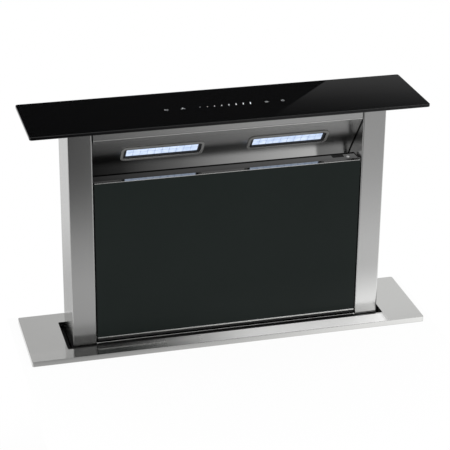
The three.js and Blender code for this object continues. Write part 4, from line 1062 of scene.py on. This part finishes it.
# piece of worktop the vent is let into; its left edge is cut back underneath
def makeBoard(look):
    top = look["boardTop"]
    low = top - look["boardThickness"]
    x0, x1, y0, y1 = look["boardReach"]
    holeX, holeY = look["boardHole"]
    cutBack = x0 + look["boardThickness"] * math.tan(math.radians(look["undercut"]))
    hole = (-holeX, holeX, -holeY, holeY)
    shape = bmesh.new()
    outerTop, outerLow, holeTop, holeLow = (
        [shape.verts.new((x, y, level)) for x, y in rectangle(*box)]
        for box, level in (((x0, x1, y0, y1), top), ((cutBack, x1, y0, y1), low), (hole, top), (hole, low)))
    bridge(shape, outerTop, holeTop)
    for a, b in ((holeLow, outerLow), (outerLow, outerTop), (holeTop, holeLow)):
        for face in bridge(shape, a, b):
            face.material_index = 1
    stagePiece("worktopBoard", toMesh("worktopBoard", shape),
               makeStageMaterial("boardWhite", look["boardShade"], look["boardFade"]), finishes["boardEdge"])


def makeLights(look):
    for name, (place, size, power) in look["lights"].items():
        data = bpy.data.lights.new(name, "AREA")
        data.shape = "RECTANGLE"
        data.size = data.size_y = size
        data.energy = power
        light = bpy.data.objects.new(name, data)
        scene.collection.objects.link(light)
        light.location = place
        light.rotation_euler = (Vector(look["aim"]) - Vector(place)).to_track_quat("-Z", "Y").to_euler()


# radiance over a card: a column of (place, value) on the left and one on the right, or one for both
def makeCardMaterial(name, look):
    material, tree, out = startBare(name)
    parts = objectParts(tree)
    low, high = look["along"]
    position = spread(tree, parts[look.get("axis", "Z")], 0, 1, low, high)

    def column(stopList):
        ramp = addNode(tree, "ShaderNodeValToRGB", inputs={"Fac": position})
        stops = ramp.color_ramp.elements
        while len(stops) < len(stopList):
            stops.new(0.5)
        for stop, (where, value) in zip(stops, stopList):
            stop.position = (where - low) / (high - low)
            stop.color = (value, value, value, 1)
        return ramp.outputs["Color"]

    color = column(look["left"])
    if "right" in look:
        across = spread(tree, parts["X"], 0, 1, *look["across"], "SMOOTHSTEP")
        color = addNode(tree, "ShaderNodeMixRGB", inputs={
            "Fac": across, "Color1": color, "Color2": column(look["right"])}).outputs["Color"]
    glow = addNode(tree, "ShaderNodeEmission", inputs={"Color": color})
    feed(tree, out, {"Surface": glow.outputs["Emission"]})
    return material


# only reflections see a card
def makeCard(name, look):
    card = flatPiece(name, look["corners"], makeCardMaterial(name, look))
    for ray in ("camera", "diffuse", "transmission", "volume_scatter", "shadow"):
        setattr(card, "visible_" + ray, False)


def upright(points, y):
    return [(x, y, z) for x, z in points]


def lying(box, z):
    return [(x, y, z) for x, y in rectangle(*box)]


cards = {
    # what the front faces mirror, lying just over the board
    "worktopCard": {
        "corners": lying((-1.2, 1.6, -0.0745, -1.9), 0.6601), "axis": "Y", "along": (-1.9, -0.0745),
        "across": (-0.25, 0.45),
        "left": [
            (-1.9, 0.02), (-0.78, 0.03), (-0.61, 0.13), (-0.43, 0.4), (-0.26, 0.52), (-0.13, 0.48), (-0.1, 0.2),
            (-0.08, 0.55)],
        "right": [
            (-1.9, 0.4), (-0.78, 0.46), (-0.63, 0.52), (-0.49, 0.64), (-0.3, 0.84), (-0.22, 0.76), (-0.14, 1.25),
            (-0.1, 1.6), (-0.08, 1.5)]},
    # the dark room beyond the worktop, as the upper part of the front mirrors it
    "frontCard": {
        "corners": upright(rectangle(-1.6, 1.9, 0.66, 1.66), -1.92), "along": (0.66, 1.66),
        "across": (-0.25, 0.45), "left": [(0.66, 0.04), (1.66, 0.03)], "right": [(0.66, 0.5), (1.0, 0.7), (1.66, 0.9)]},
    # what the flange mirrors
    "flangeCard": {
        "corners": upright(rectangle(-0.9, 1.5, 0.9, 1.19), 0.81), "along": (0.9, 1.19),
        "across": (-0.25, 0.6), "left": [(0.9, 0.72), (1.19, 0.66)], "right": [(0.9, 0.95), (1.19, 0.9)]},
    # what the cap mirrors: dark, with a lighter corner on the right
    "capDarkCard": {
        "corners": upright([(-0.9, 1.2), (0.585, 1.2), (0.2733, 1.39), (0.2733, 1.42), (-0.9, 1.42)], 0.8),
        "along": (1.2, 1.42), "across": (-0.9, 0.3),
        "left": [(1.2, 0.012), (1.42, 0.008)], "right": [(1.2, 0.02), (1.42, 0.02)]},
    "capLightCard": {
        "corners": upright([(0.585, 1.2), (1.4, 1.2), (1.4, 1.42), (0.2733, 1.42), (0.2733, 1.39)], 0.8),
        "along": (1.2, 1.42), "across": (0.2, 1.2),
        "left": [(1.2, 0.3), (1.26, 0.25), (1.3, 0.15), (1.335, 0.045), (1.36, 0.022), (1.42, 0.018)],
        "right": [(1.2, 0.38), (1.29, 0.33), (1.33, 0.28), (1.365, 0.12), (1.42, 0.05)]},
    "capHighCard": {
        "corners": upright(rectangle(-0.9, 1.4, 1.42, 2.3), 0.8), "along": (1.42, 2.3),
        "across": (-0.9, 0.3), "left": [(1.42, 0.01), (2.3, 0.03)], "right": [(1.42, 0.02), (2.3, 0.03)]},
    # what the foot of the reflector mirrors, inside the throat
    "throatCard": {
        "corners": lying((-0.203, 0.203, 0.008, 0.0255), 0.905), "axis": "X", "along": (-0.203, 0.203),
        "left": [
            (-0.203, 0.01), (-0.15, 0.03), (-0.06, 0.17), (0.06, 0.48), (0.158, 0.7), (0.16, 0.22), (0.203, 0.28)]},
    # what the upper part of the reflector mirrors, lying over the flat of the sill
    "sillCard": {
        "corners": lying((-0.203, 0.203, -0.031, -0.013), 0.9345), "axis": "X", "along": (-0.203, 0.203),
        "left": [(-0.203, 0.05), (-0.1, 0.13), (0.0, 0.17), (0.203, 0.28)]},
    # what the left side of the tower mirrors
    "sideCard": {
        "corners": upright(rectangle(-1.1, -0.25, 0.0, 0.86), 0.8), "along": (0.0, 0.86),
        "left": [(0.0, 0.6), (0.36, 0.6), (0.5, 0.78), (0.86, 0.8)]},
}

# dark band round the other sides at the height of the cap, for the cap seen from elsewhere
capRim = [(-0.9, 0.8), (-1.3, 0.3), (-1.3, -0.6), (-0.7, -1.2), (0.9, -1.2), (1.5, -0.6), (1.5, 0.3), (1.4, 0.8)]
capBand = (1.2, 2.3)
for i, ((x0, y0), (x1, y1)) in enumerate(zip(capRim, capRim[1:])):
    low, high = capBand
    cards["capRing%d" % i] = {
        "corners": [(x0, y0, low), (x1, y1, low), (x1, y1, high), (x0, y0, high)], "along": capBand,
        "left": [(low, 0.06), (1.5, 0.02), (high, 0.03)]}

for name, look in cards.items():
    makeCard(name, look)
makeWorld(studio)
makeFloor(studio)
makeBoard(studio)
makeLights(studio)
print("studio lit")
